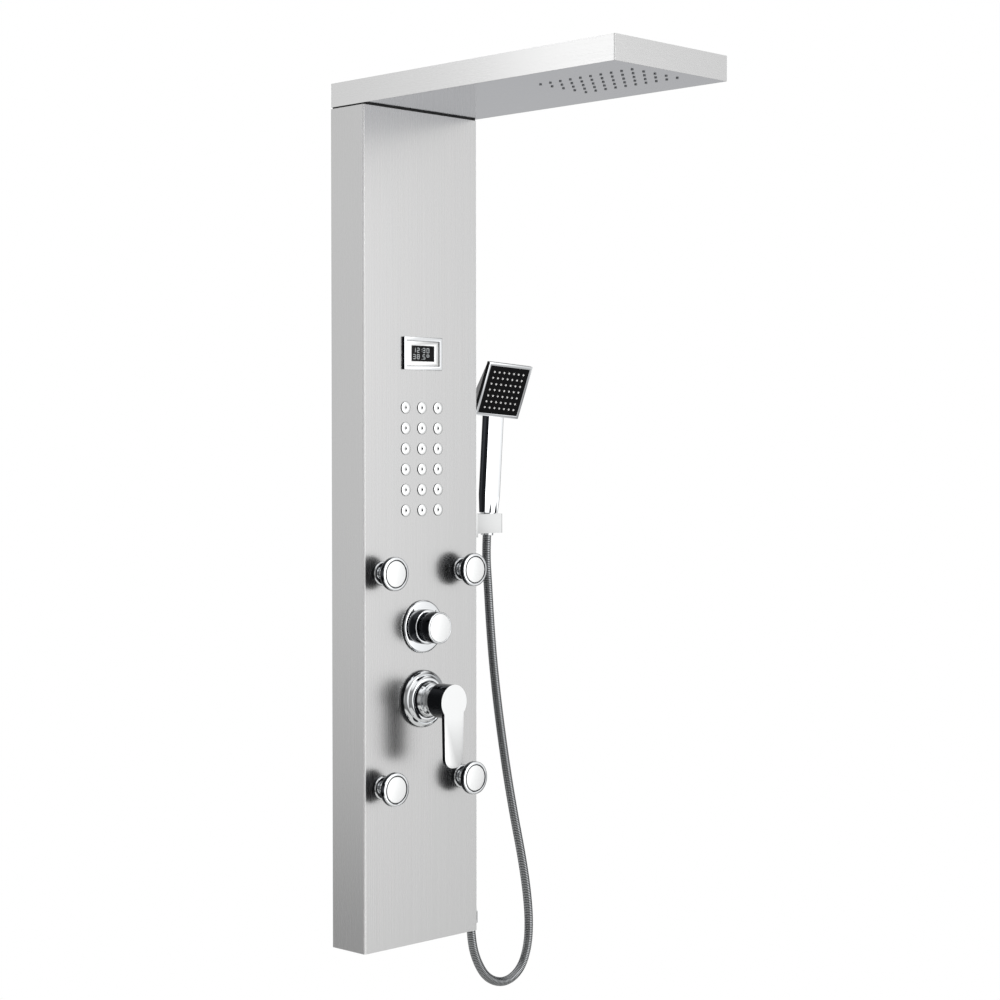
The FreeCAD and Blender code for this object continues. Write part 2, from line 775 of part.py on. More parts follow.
def display_pieces():
    middle = up(size.display_height)
    half_x = size.bezel_width / 2
    half_z = size.bezel_tall / 2
    window_x = size.window_width / 2
    window_z = size.window_tall / 2
    opening_x = half_x - size.bezel_rim
    opening_z = half_z - size.bezel_rim

    bezel = new_body("display_bezel")
    rim = new_sketch(bezel, "bezel_rim", "XZ_Plane", -front)
    draw_rectangle(rim, (-half_x, half_x), (-half_z, half_z))
    pad(bezel, rim, size.bezel_proud, "bezel_block")
    opening = new_sketch(bezel, "bezel_opening", "XZ_Plane", -front)
    draw_rectangle(opening, (-opening_x, opening_x), (-opening_z, opening_z))
    pocket(bezel, opening, size.bezel_proud, "bezel_cutout", reverse=True)
    round_edges(bezel, 0.8,
                lambda edge: runs_along(edge, 1) and abs(edge.BoundBox.XMax) > value_of(opening_x) + 1,
                "bezel_corners")
    place(bezel, 0, 0, middle)
    keep("display_bezel", bezel)

    face_front = front - size.bezel_proud + size.inner_frame_sunk
    face_back = face_front + size.inner_frame_wall
    frame_x = opening_x - size.fit_gap
    frame_z = opening_z - size.fit_gap
    keep("display_inner_frame", cut(
        "display_inner_frame",
        box("inner_frame", (-frame_x, frame_x), (face_front, face_back),
            (middle - frame_z, middle + frame_z)),
        box("lens_opening", (-window_x, window_x), (face_front - 1, face_back + 1),
            (middle - window_z, middle + window_z))))
    keep("display_lens", box("display_lens", (-frame_x, frame_x), (face_back, face_back + size.lens_wall),
                             (middle - frame_z, middle + frame_z)))
    keep("display_module", box("display_module", (-frame_x, frame_x),
                               (face_back + size.lens_wall, face_back + size.lens_wall + size.module_depth),
                               (middle - frame_z, middle + frame_z)))


def temperature_sensor():
    """A probe on the mixed-water pipe."""
    low = up(sensor_height)
    probe = rod("probe", size.sensor_radius, (size.pipe_radius, -size.front_pipe_depth, low), 12, "x")
    head = rod("probe_head", size.sensor_radius + 1.5, (size.pipe_radius + 12, -size.front_pipe_depth, low),
               5, "x")
    keep("temperature_sensor", fuse("temperature_sensor", probe, head))


# --- small jets -----------------------------------------------------------------------------

def mini_jets():
    """Eighteen small spray heads in a grid, with one manifold behind them."""
    caps = []
    for column in range(int(size.mini_columns.value)):
        for row in range(int(size.mini_rows.value)):
            x = -mini_half_across + column * size.mini_pitch_across
            z = up(mini_lowest + row * size.mini_pitch_up)
            caps.append(mini_cap(f"mini_cap_{column}_{row}", x, z))
    keep("mini_jet_caps", group("mini_jet_caps", *caps))

    body = new_body("mini_jet_manifold")
    half_x = mini_half_across + size.manifold_margin
    low = mini_lowest - size.manifold_margin
    high = mini_highest + size.manifold_margin
    block_sketch = new_sketch(body, "manifold_outline", "XZ_Plane", -manifold_back)
    draw_rectangle(block_sketch, (-half_x, half_x), (low, high))
    pad(body, block_sketch, size.manifold_depth, "manifold_block")
    hollow = new_sketch(body, "manifold_inside", "XZ_Plane", -manifold_back + size.chamber_wall)
    wall = size.chamber_wall
    draw_rectangle(hollow, (-half_x + wall, half_x - wall), (low + wall, high - wall))
    pocket(body, hollow, size.manifold_depth - 2 * wall, "manifold_hollow", reverse=True)
    place(body, 0, 0, up(0))
    keep("mini_jet_manifold", body)


def mini_cap(name, x, z):
    """A spray head: its disc on the panel and its drilled stem through it."""
    disc = rod(name + "_disc", size.mini_radius, (x, front, z), size.mini_proud, "out")
    stem = rod(name + "_stem", size.mini_stem_radius, (x, manifold_front, z),
               manifold_front - front, "out")
    bore = rod(name + "_bore", size.mini_bore, (x, manifold_front + 1, z),
               manifold_front - front + size.mini_proud + 2, "out")
    return cut(name, fuse(name + "_solid", disc, stem), bore)


# --- body jets ------------------------------------------------------------------------------

def jet_base(name, x, z):
    """A ring on the panel with a threaded shank through it, bored for the ball and its seat."""
    ring = size.jet_base_radius
    ring_front = front - size.jet_base_proud
    water_bore = size.jet_bore - size.jet_seat_ledge
    return turned(name, [
        (ring, front), (ring, ring_front + size.jet_chamfer), (ring - size.jet_chamfer, ring_front),
        (size.jet_lip_radius, ring_front), (size.jet_bore, ball_y),
        (size.jet_bore, seat_back), (water_bore, seat_back),
        (water_bore, shank_back - size.jet_shank_end_wall), (0, shank_back - size.jet_shank_end_wall),
        (0, shank_back),
        (size.jet_shank_radius, shank_back), (size.jet_shank_radius, front)], x, z)


def jet_head(name, x, z):
    """A ball on a short neck that widens into a disc with a recess for its face."""
    ball = doc.addObject("Part::Sphere", name + "_ball")
    bind(ball, {"Radius": size.jet_ball_radius})
    place(ball, x, ball_y, z)
    neck = size.jet_neck_radius
    rim = size.jet_head_radius
    back = front - size.jet_head_back
    face = front - size.jet_head_front
    recess = size.jet_face_radius + 0.6
    disc = turned(name + "_disc", [
        (0, ball_y - 4), (neck, ball_y - 4), (neck, front - 8.5), (neck + 3, front - 11),
        (rim * 0.6, front - 15), (rim - 1.5, back), (rim, back - 1.5), (rim, face + 1),
        (rim - 1, face), (recess, face), (recess, jet_face_seat), (0, jet_face_seat)], x, z)
    return fuse(name, ball, disc)


def body_jets():
    """Four swivelling jets: a base, a seat that spins, and a head that tilts in it."""
    bases = []
    nuts = []
    for jet_name, (side, height) in jet_places.items():
        x = side * size.jet_offset
        z = up(height)
        bases.append(jet_base(f"jet_base_{jet_name}", x, z))
        nuts.append(tube(f"jet_nut_{jet_name}", size.jet_shank_radius + 4,
                         size.jet_shank_radius + size.fit_gap,
                         (x, inside_front + size.jet_nut_wall, z), size.jet_nut_wall, "out"))
        seat = turned(f"jet_seat_{jet_name}", [
            (seat_bore, seat_front), (size.jet_bore - size.running_gap, seat_front),
            (size.jet_bore - size.running_gap, seat_back - size.running_gap),
            (seat_bore, seat_back - size.running_gap)], x, z)
        keep(f"jet_seat_{jet_name}", seat)
        keep(f"jet_head_{jet_name}", jet_head(f"jet_head_{jet_name}", x, z))
        keep(f"jet_face_{jet_name}", rod(f"jet_face_{jet_name}", size.jet_face_radius, (x, jet_face_seat, z),
                                         jet_face_seat - front + size.jet_head_front - 0.3, "out"))
    for column in range(int(size.mini_columns.value)):
        for row in range(int(size.mini_rows.value)):
            x = -mini_half_across + column * size.mini_pitch_across
            z = up(mini_lowest + row * size.mini_pitch_up)
            nuts.append(tube(f"mini_nut_{column}_{row}", size.mini_nut_radius,
                             size.mini_stem_radius + size.fit_gap, (x, manifold_front, z),
                             size.mini_nut_wall, "out"))
    keep("jet_bases", group("jet_bases", *bases))
    keep("jet_nuts", group("jet_nuts", *nuts))


# --- diverter -------------------------------------------------------------------------------

def diverter():
    z = up(size.diverter_up)
    neck = size.diverter_collar_radius - 5
    flange_front = front - size.diverter_flange_wall
    flange = size.diverter_flange_radius
    keep("diverter_flange", turned("diverter_flange", [
        (neck + size.fit_gap, front), (flange, front), (flange, flange_front + 1.5),
        (flange - 1.5, flange_front), (neck + size.fit_gap, flange_front)], 0, z))

    stem_hole = size.stem_radius + size.running_gap
    valve = size.valve_radius
    neck_front = flange_front - 1.5
    keep("diverter_valve_body", turned("diverter_valve_body", [
        (valve, inside_front), (valve, -size.valve_back), (0, -size.valve_back),
        (0, stem_back + 0.3), (stem_hole, stem_back + 0.3), (stem_hole, neck_front),
        (neck, neck_front), (neck, inside_front)], 0, z))

    collar = size.diverter_collar_radius
    collar_front = front - size.diverter_collar_proud
    keep("diverter_collar", turned("diverter_collar", [
        (neck + size.fit_gap, flange_front), (collar, flange_front), (collar, flange_front - 5),
        (collar - 2, collar_front), (stem_hole, collar_front), (stem_hole, neck_front - 0.5),
        (neck + size.fit_gap, neck_front - 0.5)], 0, z))

    knob = size.knob_radius
    skirt = knob - 3
    skirt_back = collar_front - 1
    back = front - size.knob_back
    knob_face = front - size.knob_front
    cap_seat = knob_face + size.knob_cap_wall
    inner = knob_face + size.knob_cap_wall + size.knob_wall
    rim = knob - 1.8
    shell = turned("knob_shell", [
        (skirt - size.knob_wall, skirt_back), (skirt, skirt_back), (skirt, back), (knob, back),
        (knob, knob_face + 0.8), (knob - 0.8, knob_face), (rim, knob_face), (rim, cap_seat), (0, cap_seat),
        (0, stem_front), (size.stem_radius, stem_front), (size.stem_radius, skirt_back),
        (size.stem_radius + 3.5, skirt_back), (size.stem_radius + 3.5, inner),
        (skirt - size.knob_wall, inner)], 0, z)
    mark = rod("knob_mark", 1.3, (0, (back + knob_face) / 2, z + knob - 1), 3.2, "z")
    keep("diverter_knob", fuse("diverter_knob", shell, mark))
    keep("diverter_knob_cap", rod("diverter_knob_cap", rim - size.fit_gap, (0, cap_seat, z),
                                  size.knob_cap_wall + 0.2, "out"))
    keep("diverter_stem", rod("diverter_stem", size.stem_radius, (0, stem_back, z),
                              stem_back - stem_front, "out"))


# --- mixer ----------------------------------------------------------------------------------

def mixer_fixed_pieces():
    z = up(size.mixer_up)
    bonnet = size.mixer_bonnet_radius
    flange = size.mixer_flange_radius
    flange_front = front - size.mixer_flange_proud
    bore = bonnet + size.fit_gap
    keep("mixer_flange", turned("mixer_flange", [
        (flange - 2, front), (flange, front), (flange, flange_front + 3), (flange - 2.5, flange_front),
        (bore + 1.2, flange_front), (bore, flange_front + 1.2), (bore, front), (bore + 2, front),
        (bore + 2, flange_front + 2), (flange - 3, flange_front + 2),
        (flange - 2, flange_front + 3.2)], 0, z))

    cartridge = size.cartridge_radius
    neck = bonnet - 3.5
    neck_front = front - 5
    socket = cartridge + size.fit_gap
    keep("mixer_valve_body", turned("mixer_valve_body", [
        (size.valve_radius, inside_front), (size.valve_radius, -size.valve_back), (0, -size.valve_back),
        (0, cartridge_back), (socket, cartridge_back), (socket, neck_front), (neck, neck_front),
        (neck, inside_front)], 0, z))
    keep("mixer_cartridge", rod("mixer_cartridge", cartridge, (0, cartridge_back - size.fit_gap, z),
                                cartridge_back - size.fit_gap - cartridge_front, "out"))

    bonnet_front = front - size.mixer_bonnet_proud
    keep("mixer_bonnet", turned("mixer_bonnet", [
        (neck + size.fit_gap, inside_front - 0.2), (bonnet, inside_front - 0.2), (bonnet, flange_front - 1),
        (bonnet - 2.5, bonnet_front), (socket, bonnet_front), (socket, neck_front - 0.2),
        (neck + size.fit_gap, neck_front - 0.2)], 0, z))

    ring = size.mixer_ring_radius
    ring_front = front - size.mixer_ring_proud
    ring_bore = rotor_radius + size.socket_gap
    keep("mixer_retaining_ring", turned("mixer_retaining_ring", [
        (ring_bore, bonnet_front), (ring + 2, bonnet_front), (ring + 2, bonnet_front - 3),
        (ring, bonnet_front - 4.5), (ring, ring_front), (ring_bore, ring_front)], 0, z))


def mixer_rotor():
    """The turning part of the cartridge: a foot and a stub, slotted for the lever's tongue."""
    z = up(size.mixer_up)
    foot = size.cartridge_radius - 0.5
    foot_back = cartridge_front - size.socket_gap
    foot_front = foot_back - 3.5
    stub = turned("rotor_stub", [
        (0, foot_back), (foot, foot_back), (foot, foot_front), (rotor_radius, foot_front),
        (rotor_radius, rotor_front), (0, rotor_front)], 0, z)
    slot_half = tongue_half + size.socket_gap
    slot = box("tongue_slot", (-slot_half, slot_half), (rotor_front - 1, pivot_y + tongue_round + 0.6),
               (z - rotor_radius - 1, z + rotor_radius + 1))
    hole = rod("rotor_pin_hole", pin_radius + 0.05, (-rotor_radius - 1, pivot_y, z),
               2 * rotor_radius + 2, "x")
    keep("mixer_rotor", cut("mixer_rotor", stub, slot, hole))
    keep("mixer_lever_pin", rod("mixer_lever_pin", pin_radius, (-rotor_radius + 1, pivot_y, z),
                                2 * rotor_radius - 2, "x"))


def mixer_lever():
    """A hollow round cap with a flat paddle that hangs from its front, and a tongue inside."""
    z = up(size.mixer_up)
    lever_face = front - size.lever_front
    body = new_body("lever_shell")
    disc = new_sketch(body, "lever_disc", "XZ_Plane", -front + size.lever_back)
    draw_circle(disc, 0, 0, size.lever_radius)
    pad(body, disc, size.lever_front - size.lever_back, "lever_drum")
    hollow = new_sketch(body, "lever_inside", "XZ_Plane", -front + size.lever_back)
    draw_circle(hollow, 0, 0, size.lever_radius - size.lever_wall)
    pocket(body, hollow, size.lever_front - size.lever_back - size.paddle_wall, "lever_hollow", reverse=True)
    paddle = new_sketch(body, "paddle_outline", "XZ_Plane", -lever_face - size.paddle_wall)
    half_top = size.paddle_width / 2
    half_tip = size.paddle_tip_width / 2
    draw_outline(paddle, [(-half_top, 0), (-half_tip, -size.lever_reach), (half_tip, -size.lever_reach),
                          (half_top, 0)])
    pad(body, paddle, size.paddle_wall, "paddle")
    tip = value_of(-size.lever_reach)
    round_edges(body, size.paddle_tip_width * 0.42,
                lambda edge: runs_along(edge, 1) and abs(edge.BoundBox.ZMin - tip) < 0.1, "paddle_tip")
    place(body, 0, 0, z)
    inner_face = lever_face + size.paddle_wall
    bar = box("tongue_bar", (-tongue_half, tongue_half), (inner_face, pivot_y),
              (z - tongue_round, z + tongue_round))
    end = rod("tongue_end", tongue_round, (-tongue_half, pivot_y, z), 2 * tongue_half, "x")
    hole = rod("tongue_pin_hole", pin_radius + size.running_gap, (-tongue_half - 1, pivot_y, z),
               2 * tongue_half + 2, "x")
    keep("mixer_lever", cut("mixer_lever", fuse("lever_solid", body, bar, end), hole))


# --- pipes ----------------------------------------------------------------------------------

def pipe(name, points, *stops):
    """A pipe along runs that are parallel to the axes, with round elbows, cut off at its stops."""
    outside = []
    inside = []
    for wall, pieces in ((size.pipe_radius, outside), (size.pipe_bore, inside)):
        for number, (start, end) in enumerate(zip(points, points[1:])):
            axis = max(range(3), key=lambda item: abs(value_of(end[item]) - value_of(start[item])))
            along = ("x", "out", "z")[axis]
            rises = value_of(end[axis]) > value_of(start[axis])
            low, high = (start, end) if rises else (end, start)
            first = high if along == "out" else low
            pieces.append(rod(f"{name}_run_{number}", wall, first, high[axis] - low[axis], along))
        for number, corner in enumerate(points[1:-1]):
            elbow = doc.addObject("Part::Sphere", f"{name}_elbow_{number}")
            bind(elbow, {"Radius": wall})
            place(elbow, *corner)
            pieces.append(elbow)
    solid = fuse(name + "_outside", *outside) if len(outside) > 1 else outside[0]
    hollow = fuse(name + "_bore", *inside) if len(inside) > 1 else inside[0]
    return cut(name, solid, hollow, *stops)


def whole_valve(name, height):
    return rod(name, size.valve_radius, (0, 0, up(height)), size.column_depth, "out")


def jet_stop(name, side, height):
    return rod(name, size.jet_shank_radius, (side * size.jet_offset, 0, up(height)), size.column_depth, "out")


def pipes():
    z_mixer = up(size.mixer_up)
    z_diverter = up(size.diverter_up)
    front_y = -size.front_pipe_depth
    middle_y = -size.middle_pipe_depth
    rear_y = -size.rear_pipe_depth

    head_feed_z = head_bottom + mat_top + size.chamber_depth / 2
    keep("riser_pipe", pipe("riser_pipe", [
        (0, rear_y, z_diverter), (0, rear_y, head_feed_z), (0, rain_centre + rain_half_along, head_feed_z)],
        whole_valve("riser_stop", size.diverter_up)))

    loop = []
    for side in (-1, 1):
        x = side * size.jet_offset
        loop.append(pipe(f"jet_riser_{side}",
                         [(x, front_y, up(size.jet_low)), (x, front_y, up(size.jet_high))],
                         jet_stop(f"low_stop_{side}", side, size.jet_low),
                         jet_stop(f"high_stop_{side}", side, size.jet_high)))
    crossing = pipe("jet_crossing", [(-size.jet_offset, front_y, up(size.jet_low)),
                                     (size.jet_offset, front_y, up(size.jet_low))],
                    jet_stop("left_stop", -1, size.jet_low), jet_stop("right_stop", 1, size.jet_low))
    feed = rod("jet_feed", size.pipe_radius, (-size.jet_offset, front_y, z_diverter), size.jet_offset, "x")
    feed = cut("jet_feed", feed, whole_valve("feed_stop", size.diverter_up),
               rod("feed_clearance", size.pipe_bore, (-size.jet_offset, front_y, up(size.jet_low)),
                   size.jet_high - size.jet_low, "z"))
    keep("jet_loop_pipe", group("jet_loop_pipe", fuse("left_jet_pipe", loop[0], feed), loop[1], crossing))

    mixed = pipe("mixed_pipe", [(0, front_y, z_mixer), (0, front_y, z_diverter)],
                 whole_valve("mixed_low_stop", size.mixer_up),
                 whole_valve("mixed_high_stop", size.diverter_up))
    manifold_feed = pipe("manifold_feed", [
        (0, front_y, z_diverter), (0, front_y, up(mini_lowest - size.manifold_margin))],
        whole_valve("manifold_stop", size.diverter_up))
    across = size.handset_pipe_across
    handset_feed = pipe("handset_feed", [
        (0, middle_y, z_diverter), (across, middle_y, z_diverter), (across, middle_y, up(size.outlet_height)),
        (outlet_inner_end, middle_y, up(size.outlet_height))],
        whole_valve("handset_stop", size.diverter_up))
    keep("link_pipes", group("link_pipes", mixed, manifold_feed, handset_feed))

    unions = []
    for side, name in ((-1, "hot"), (1, "cold")):
        x = side * size.inlet_spacing / 2
        arm_length = size.inlet_spacing / 2 - size.pipe_radius
        arm_start = 0 if side > 0 else -arm_length
        arm = rod(name + "_arm", size.pipe_radius, (arm_start, rear_y, z_mixer), arm_length, "x")
        thread = size.inlet_thread_radius
        closed_end = -size.rear_pipe_depth - size.pipe_radius - 1.5
        nipple = turned(name + "_nipple", [
            (size.pipe_bore, inlet_end), (thread, inlet_end), (thread, inlet_collar_back),
            (thread + 1.5, inlet_collar_back), (thread + 1.5, closed_end), (0, closed_end),
            (0, closed_end + 2), (size.pipe_bore, closed_end + 2)], x, z_mixer)
        arm = cut(name + "_arm", arm, whole_valve(name + "_stop", size.mixer_up))
        unions.append(fuse(name + "_union", nipple, arm))
    keep("inlet_unions", group("inlet_unions", *unions))


# --- holder ---------------------------------------------------------------------------------

def socket_cone(name, gap):
    """The tapered space of the hose nut in its socket, along the hand shower's axis."""
    rise = value_of(size.nut_length)
    low = nut_foot
    taper = (value_of(size.nut_top_radius) - value_of(size.nut_foot_radius)) / rise
    over = 15
    foot = value_of(size.nut_foot_radius) + gap - taper * over
    top = value_of(size.nut_top_radius) + gap + taper * over
    cone = Part.makeCone(foot, top, rise + 2 * over, FreeCAD.Vector(0, 0, low - over))
    return shaped(name, cone, handset_place)


def holder_bracket():
    """A block on the column's side with a tapered socket and a slot that lets the hose out."""
    middle = up(size.holder_up)
    low = middle - size.holder_tall / 2
    high = middle + size.holder_tall / 2
    y_front = -size.handset_depth - size.holder_deep / 2
    y_back = -size.handset_depth + size.holder_deep / 2
    body = new_body("holder_block")
    outline = new_sketch(body, "holder_outline", "XY_Plane", low)
    draw_rectangle(outline, (half_width, half_width + size.holder_reach), (y_front, y_back))
    pad(body, outline, size.holder_tall, "holder_pad")
    outer = value_of(half_width + size.holder_reach)
    round_edges(body, 3, lambda edge: runs_along(edge, 2) and abs(edge.BoundBox.XMax - outer) < 0.1,
                "holder_corners")
    plate = box("holder_plate", (half_width, half_width + size.holder_plate_wall), (y_front - 2, y_back + 2),
                (low - size.holder_plate_drop, high + 1))
    slot_half = size.hose_radius + 1
    slot = box("hose_slot", (size.handset_across, half_width + size.holder_reach + 1),
               (-size.handset_depth - slot_half, -size.handset_depth + slot_half), (low - 1, high + 1))
    screws = [rod(f"holder_screw_hole_{side}", size.screw_radius + size.fit_gap,
                  (half_width - 1, -size.handset_depth + side * holder_screw_offset, middle),
                  holder_screw_grip + 1.5, "x") for side in (-1, 1)]
    keep("holder_bracket", cut("holder_bracket", fuse("holder_solid", body, plate),
                               socket_cone("holder_socket", value_of(size.socket_gap)), slot, *screws))


# --- hand shower ----------------------------------------------------------------------------

def flat_section(width, depth, height):
    """A level rectangle across the hand shower's axis."""
    half_x = width / 2
    half_y = depth / 2
    corners = [(-half_x, -half_y), (half_x, -half_y), (half_x, half_y), (-half_x, half_y)]
    return Part.makePolygon([FreeCAD.Vector(x, y, height) for x, y in corners + corners[:1]])


def hand_shower():
    """A flat square head on a bar-shaped handle; its pieces share the axis of the socket."""
    width = value_of(size.handle_width)
    depth = value_of(size.handle_depth)
    foot = value_of(size.handle_foot_width)
    top = value_of(size.plate_above_seat)
    side = value_of(size.plate_side)
    wall = value_of(size.plate_wall)
    face_side = value_of(size.plate_face_side)
    sunk = value_of(size.plate_face_sunk)
    rim = value_of(size.plate_rim)
    handle_foot = nut_foot + value_of(size.nut_length)

    plate_local = FreeCAD.Placement(FreeCAD.Vector(0, -depth / 2 - 0.4, top),
                                    FreeCAD.Rotation(FreeCAD.Vector(1, 0, 0), value_of(size.plate_pitch)))
    plate_place = handset_place.multiply(plate_local)

    hump_foot = top + value_of(size.hump_back_foot)
    hump_top = top + value_of(size.hump_back_top)
    sections = [flat_section(foot, depth - 2, handle_foot),
                flat_section(width, depth, handle_foot + value_of(size.handle_taper)),
                flat_section(width, depth, (hump_foot + hump_top) / 2)]
    handle = Part.makeLoft(sections, True, True)
    slab = Part.makeBox(side, wall - rim, side, FreeCAD.Vector(-side / 2, rim, 0))
    slab.Placement = plate_local
    hump_margin = value_of(size.hump_margin)
    edge = side / 2 - hump_margin
    wide_corners = [(-edge, hump_margin), (edge, hump_margin), (edge, side - hump_margin),
                    (-edge, side - hump_margin)]
    wide_end = [plate_local.multVec(FreeCAD.Vector(x, wall, z)) for x, z in wide_corners + wide_corners[:1]]
    back_half = value_of(size.hump_back_width) / 2
    back_corners = [(-back_half, hump_foot), (back_half, hump_foot), (back_half, hump_top),
                    (-back_half, hump_top)]
    back_end = [FreeCAD.Vector(x, depth / 2, z) for x, z in back_corners + back_corners[:1]]
    hump = Part.makeLoft([Part.makePolygon(wide_end), Part.makePolygon(back_end)], True, True)
    front_room = Part.makeBox(side, rim + 4, side, FreeCAD.Vector(-side / 2, -4, 0))
    front_room.Placement = plate_local
    solid_body = handle.fuse([hump, slab]).removeSplitter().cut(front_room)
    keep("handset_body", shaped("handset_body", solid_body, handset_place))

    outer = Part.makeBox(side, rim, side, FreeCAD.Vector(-side / 2, 0, 0))
    margin = (side - face_side) / 2
    opening = Part.makeBox(face_side, rim + 2, face_side, FreeCAD.Vector(-face_side / 2, -1, margin))
    keep("handset_frame", shaped("handset_frame", outer.cut(opening), plate_place))
    face = Part.makeBox(face_side, rim - sunk, face_side, FreeCAD.Vector(-face_side / 2, sunk, margin))
    keep("handset_spray_face", shaped("handset_spray_face", face, plate_place))

    tips = []
    count = int(size.spray_count.value)
    pitch = value_of(size.spray_pitch)
    for column in range(count):
        for row in range(count):
            x = (column - (count - 1) / 2) * pitch
            z = side / 2 + (row - (count - 1) / 2) * pitch
            tips.append(Part.makeCylinder(value_of(size.spray_tip_radius), value_of(size.spray_tip_proud),
                                          FreeCAD.Vector(x, sunk, z), FreeCAD.Vector(0, -1, 0)))
    keep("handset_nozzles", shaped("handset_nozzles", Part.makeCompound(tips), plate_place))

    nut = Part.makeCone(value_of(size.nut_foot_radius), value_of(size.nut_top_radius),
                        value_of(size.nut_length), FreeCAD.Vector(0, 0, nut_foot))
    keep("hose_top_nut", shaped("hose_top_nut", nut, handset_place))


# --- hose -----------------------------------------------------------------------------------

def hose_outlet():
    """An elbow on the column's side with a collar nut that points down."""
    y = -size.middle_pipe_depth
    z = up(size.outlet_height)
    arm = rod("outlet_arm", outlet_pipe_radius, (outlet_inner_end, y, z),
              size.outlet_across - outlet_inner_end, "x")
    flange = rod("outlet_flange", size.outlet_nut_radius + 2, (half_width, y, z), 3, "x")
    knee = doc.addObject("Part::Sphere", "outlet_knee")
    bind(knee, {"Radius": outlet_pipe_radius + 2})
    place(knee, size.outlet_across, y, z)
    spout_low = up(size.hose_foot_up + size.outlet_nut_length)
    spout = rod("outlet_spout", outlet_pipe_radius + 1, (size.outlet_across, y, spout_low),
                z - spout_low, "z")
    keep("outlet_elbow", fuse("outlet_elbow", arm, flange, knee, spout))
    keep("hose_bottom_nut", rod("hose_bottom_nut", size.outlet_nut_radius,
                                (size.outlet_across, y, up(size.hose_foot_up)), size.outlet_nut_length, "z"))


def hose_route():
    """The hose's points from the outlet to the hand shower, at heights above the column's foot.
    Those above the foot are for a holder at HOSE_HOLDER_UP, and rise with it."""
    across = value_of(size.outlet_across)
    depth = value_of(size.middle_pipe_depth)
    low = value_of(size.hose_foot_up)
    between = [
        (across + 0.8, depth + 0.5, low - value_of(size.hose_drop)), (126.5, 32.5, -51), (145.5, 33.5, -78),
        (178, 34.5, -89.5), (208, 35.5, -77), (222.5, 36, -46), (224.5, 36.5, -8), (219, 37, 34),
        (208.5, 38, 80), (194.5, 38.5, 131.5), (180.8, 39, 187), (169, 39.5, 243), (158.3, 40, 300),
        (149.8, 40.5, 356), (143.6, 41, 411), (139.7, 41.6, 455)]
    axis = handset_place.Rotation.multVec(FreeCAD.Vector(0, 0, 1))
    end = handset_place.multVec(FreeCAD.Vector(0, 0, nut_foot))
    last_run = 26
    foot = value_of(size.hang_height)
    stretch = value_of(size.holder_up) / HOSE_HOLDER_UP
    points = [FreeCAD.Vector(across, -depth, low - foot)]
    for x, y, height in between:
        points.append(FreeCAD.Vector(x, -y, height * (stretch if height > 0 else 1) - foot))
    points += [end - axis * last_run, end]
    return points


def ribbed_tube(route, radius, groove, count, plain):
    """A tube whose outside steps in and out in ribs, with a plain stretch at each end."""
    length = route.Length
    pitch = (length - 2 * plain) / count
    stations = [(0, radius - groove)]
    for rib in range(count):
        start = plain + rib * pitch
        stations += [(start + 0.10 * pitch, radius - groove), (start + 0.35 * pitch, radius),
                     (start + 0.75 * pitch, radius), (start + pitch, radius - groove)]
    stations.append((length, radius - groove))
    rings = []
    side = FreeCAD.Vector(0, 1, 0)
    edges = route.Edges
    starts = [0.0]
    for edge in edges:
        starts.append(starts[-1] + edge.Length)
    current = 0
    for distance, ring_radius in stations:
        while current < len(edges) - 1 and distance > starts[current + 1]:
            current += 1
        edge = edges[current]
        parameter = edge.getParameterByLength(min(distance - starts[current], edge.Length))
        centre = edge.valueAt(parameter)
        ahead = edge.tangentAt(parameter).normalize()
        x_axis = side.cross(ahead).normalize()
        circle = Part.Circle(FreeCAD.Vector(0, 0, 0), FreeCAD.Vector(0, 0, 1), ring_radius).toShape()
        circle.Placement = FreeCAD.Placement(centre, FreeCAD.Rotation(x_axis, FreeCAD.Vector(0, 0, 0), ahead,
                                                                      "ZXY"))
        rings.append(Part.Wire(circle))
    return Part.makeLoft(rings, True, True)


def hose():
    route, radii = rounded_route(hose_route())
    outer = value_of(size.hose_radius)
    bore_radius = value_of(size.hose_bore)
    outside = ribbed_tube(route, outer, value_of(size.hose_rib_depth), HOSE_RIBS, 2 * outer)
    bore = swept_circle(route, bore_radius)
    solid = outside.cut(bore)
    expected = bore.Volume / (math.pi * bore_radius ** 2)
    print(f"hose: length {route.Length:.1f}, smallest radius {min(radii):.1f}")
    print(f"hose: radii {[round(radius) for radius in radii]}")
    print(f"hose: bore volume / section {expected:.1f}")
    print(f"hose: outside {outside.Volume:.0f}, solid {solid.Volume:.0f}")
    keep("hose", shaped("hose", solid))


# --- the whole column -----------------------------------------------------------------------

def build():
    column_casing()
    end_cap("column_top_cap", up(size.column_height) - size.end_cap_wall, [
        (0, -size.rear_pipe_depth, size.pipe_radius + size.fit_gap)] + [
        (side * head_screw_across, -head_screw_depth, size.screw_radius + size.fit_gap) for side in (-1, 1)])
    end_cap("column_bottom_cap", up(0), [])
    wall_fixing()
    panel_screws()
    head_casing()
    head_spray_plate()
    head_nozzle_mat()
    head_water_chamber()
    head_gasket()
    head_screws()
    display_pieces()
    temperature_sensor()
    mini_jets()
    body_jets()
    diverter()
    mixer_fixed_pieces()
    mixer_rotor()
    mixer_lever()
    pipes()
    holder_bracket()
    hand_shower()
    hose_outlet()
    hose()


def check():
    """Stops if anything in the document failed or a piece is not a sound solid."""
    doc.recompute()
    for item in doc.Objects:
        if "Invalid" in item.State or "Error" in item.State:
            raise ValueError(f"{item.Label} failed: {item.State}")
    for node_name, piece in nodes.items():
        if piece.Shape.isNull() or not piece.Shape.isValid() or not piece.Shape.Solids:
            raise ValueError(f"{node_name} is not a sound solid")


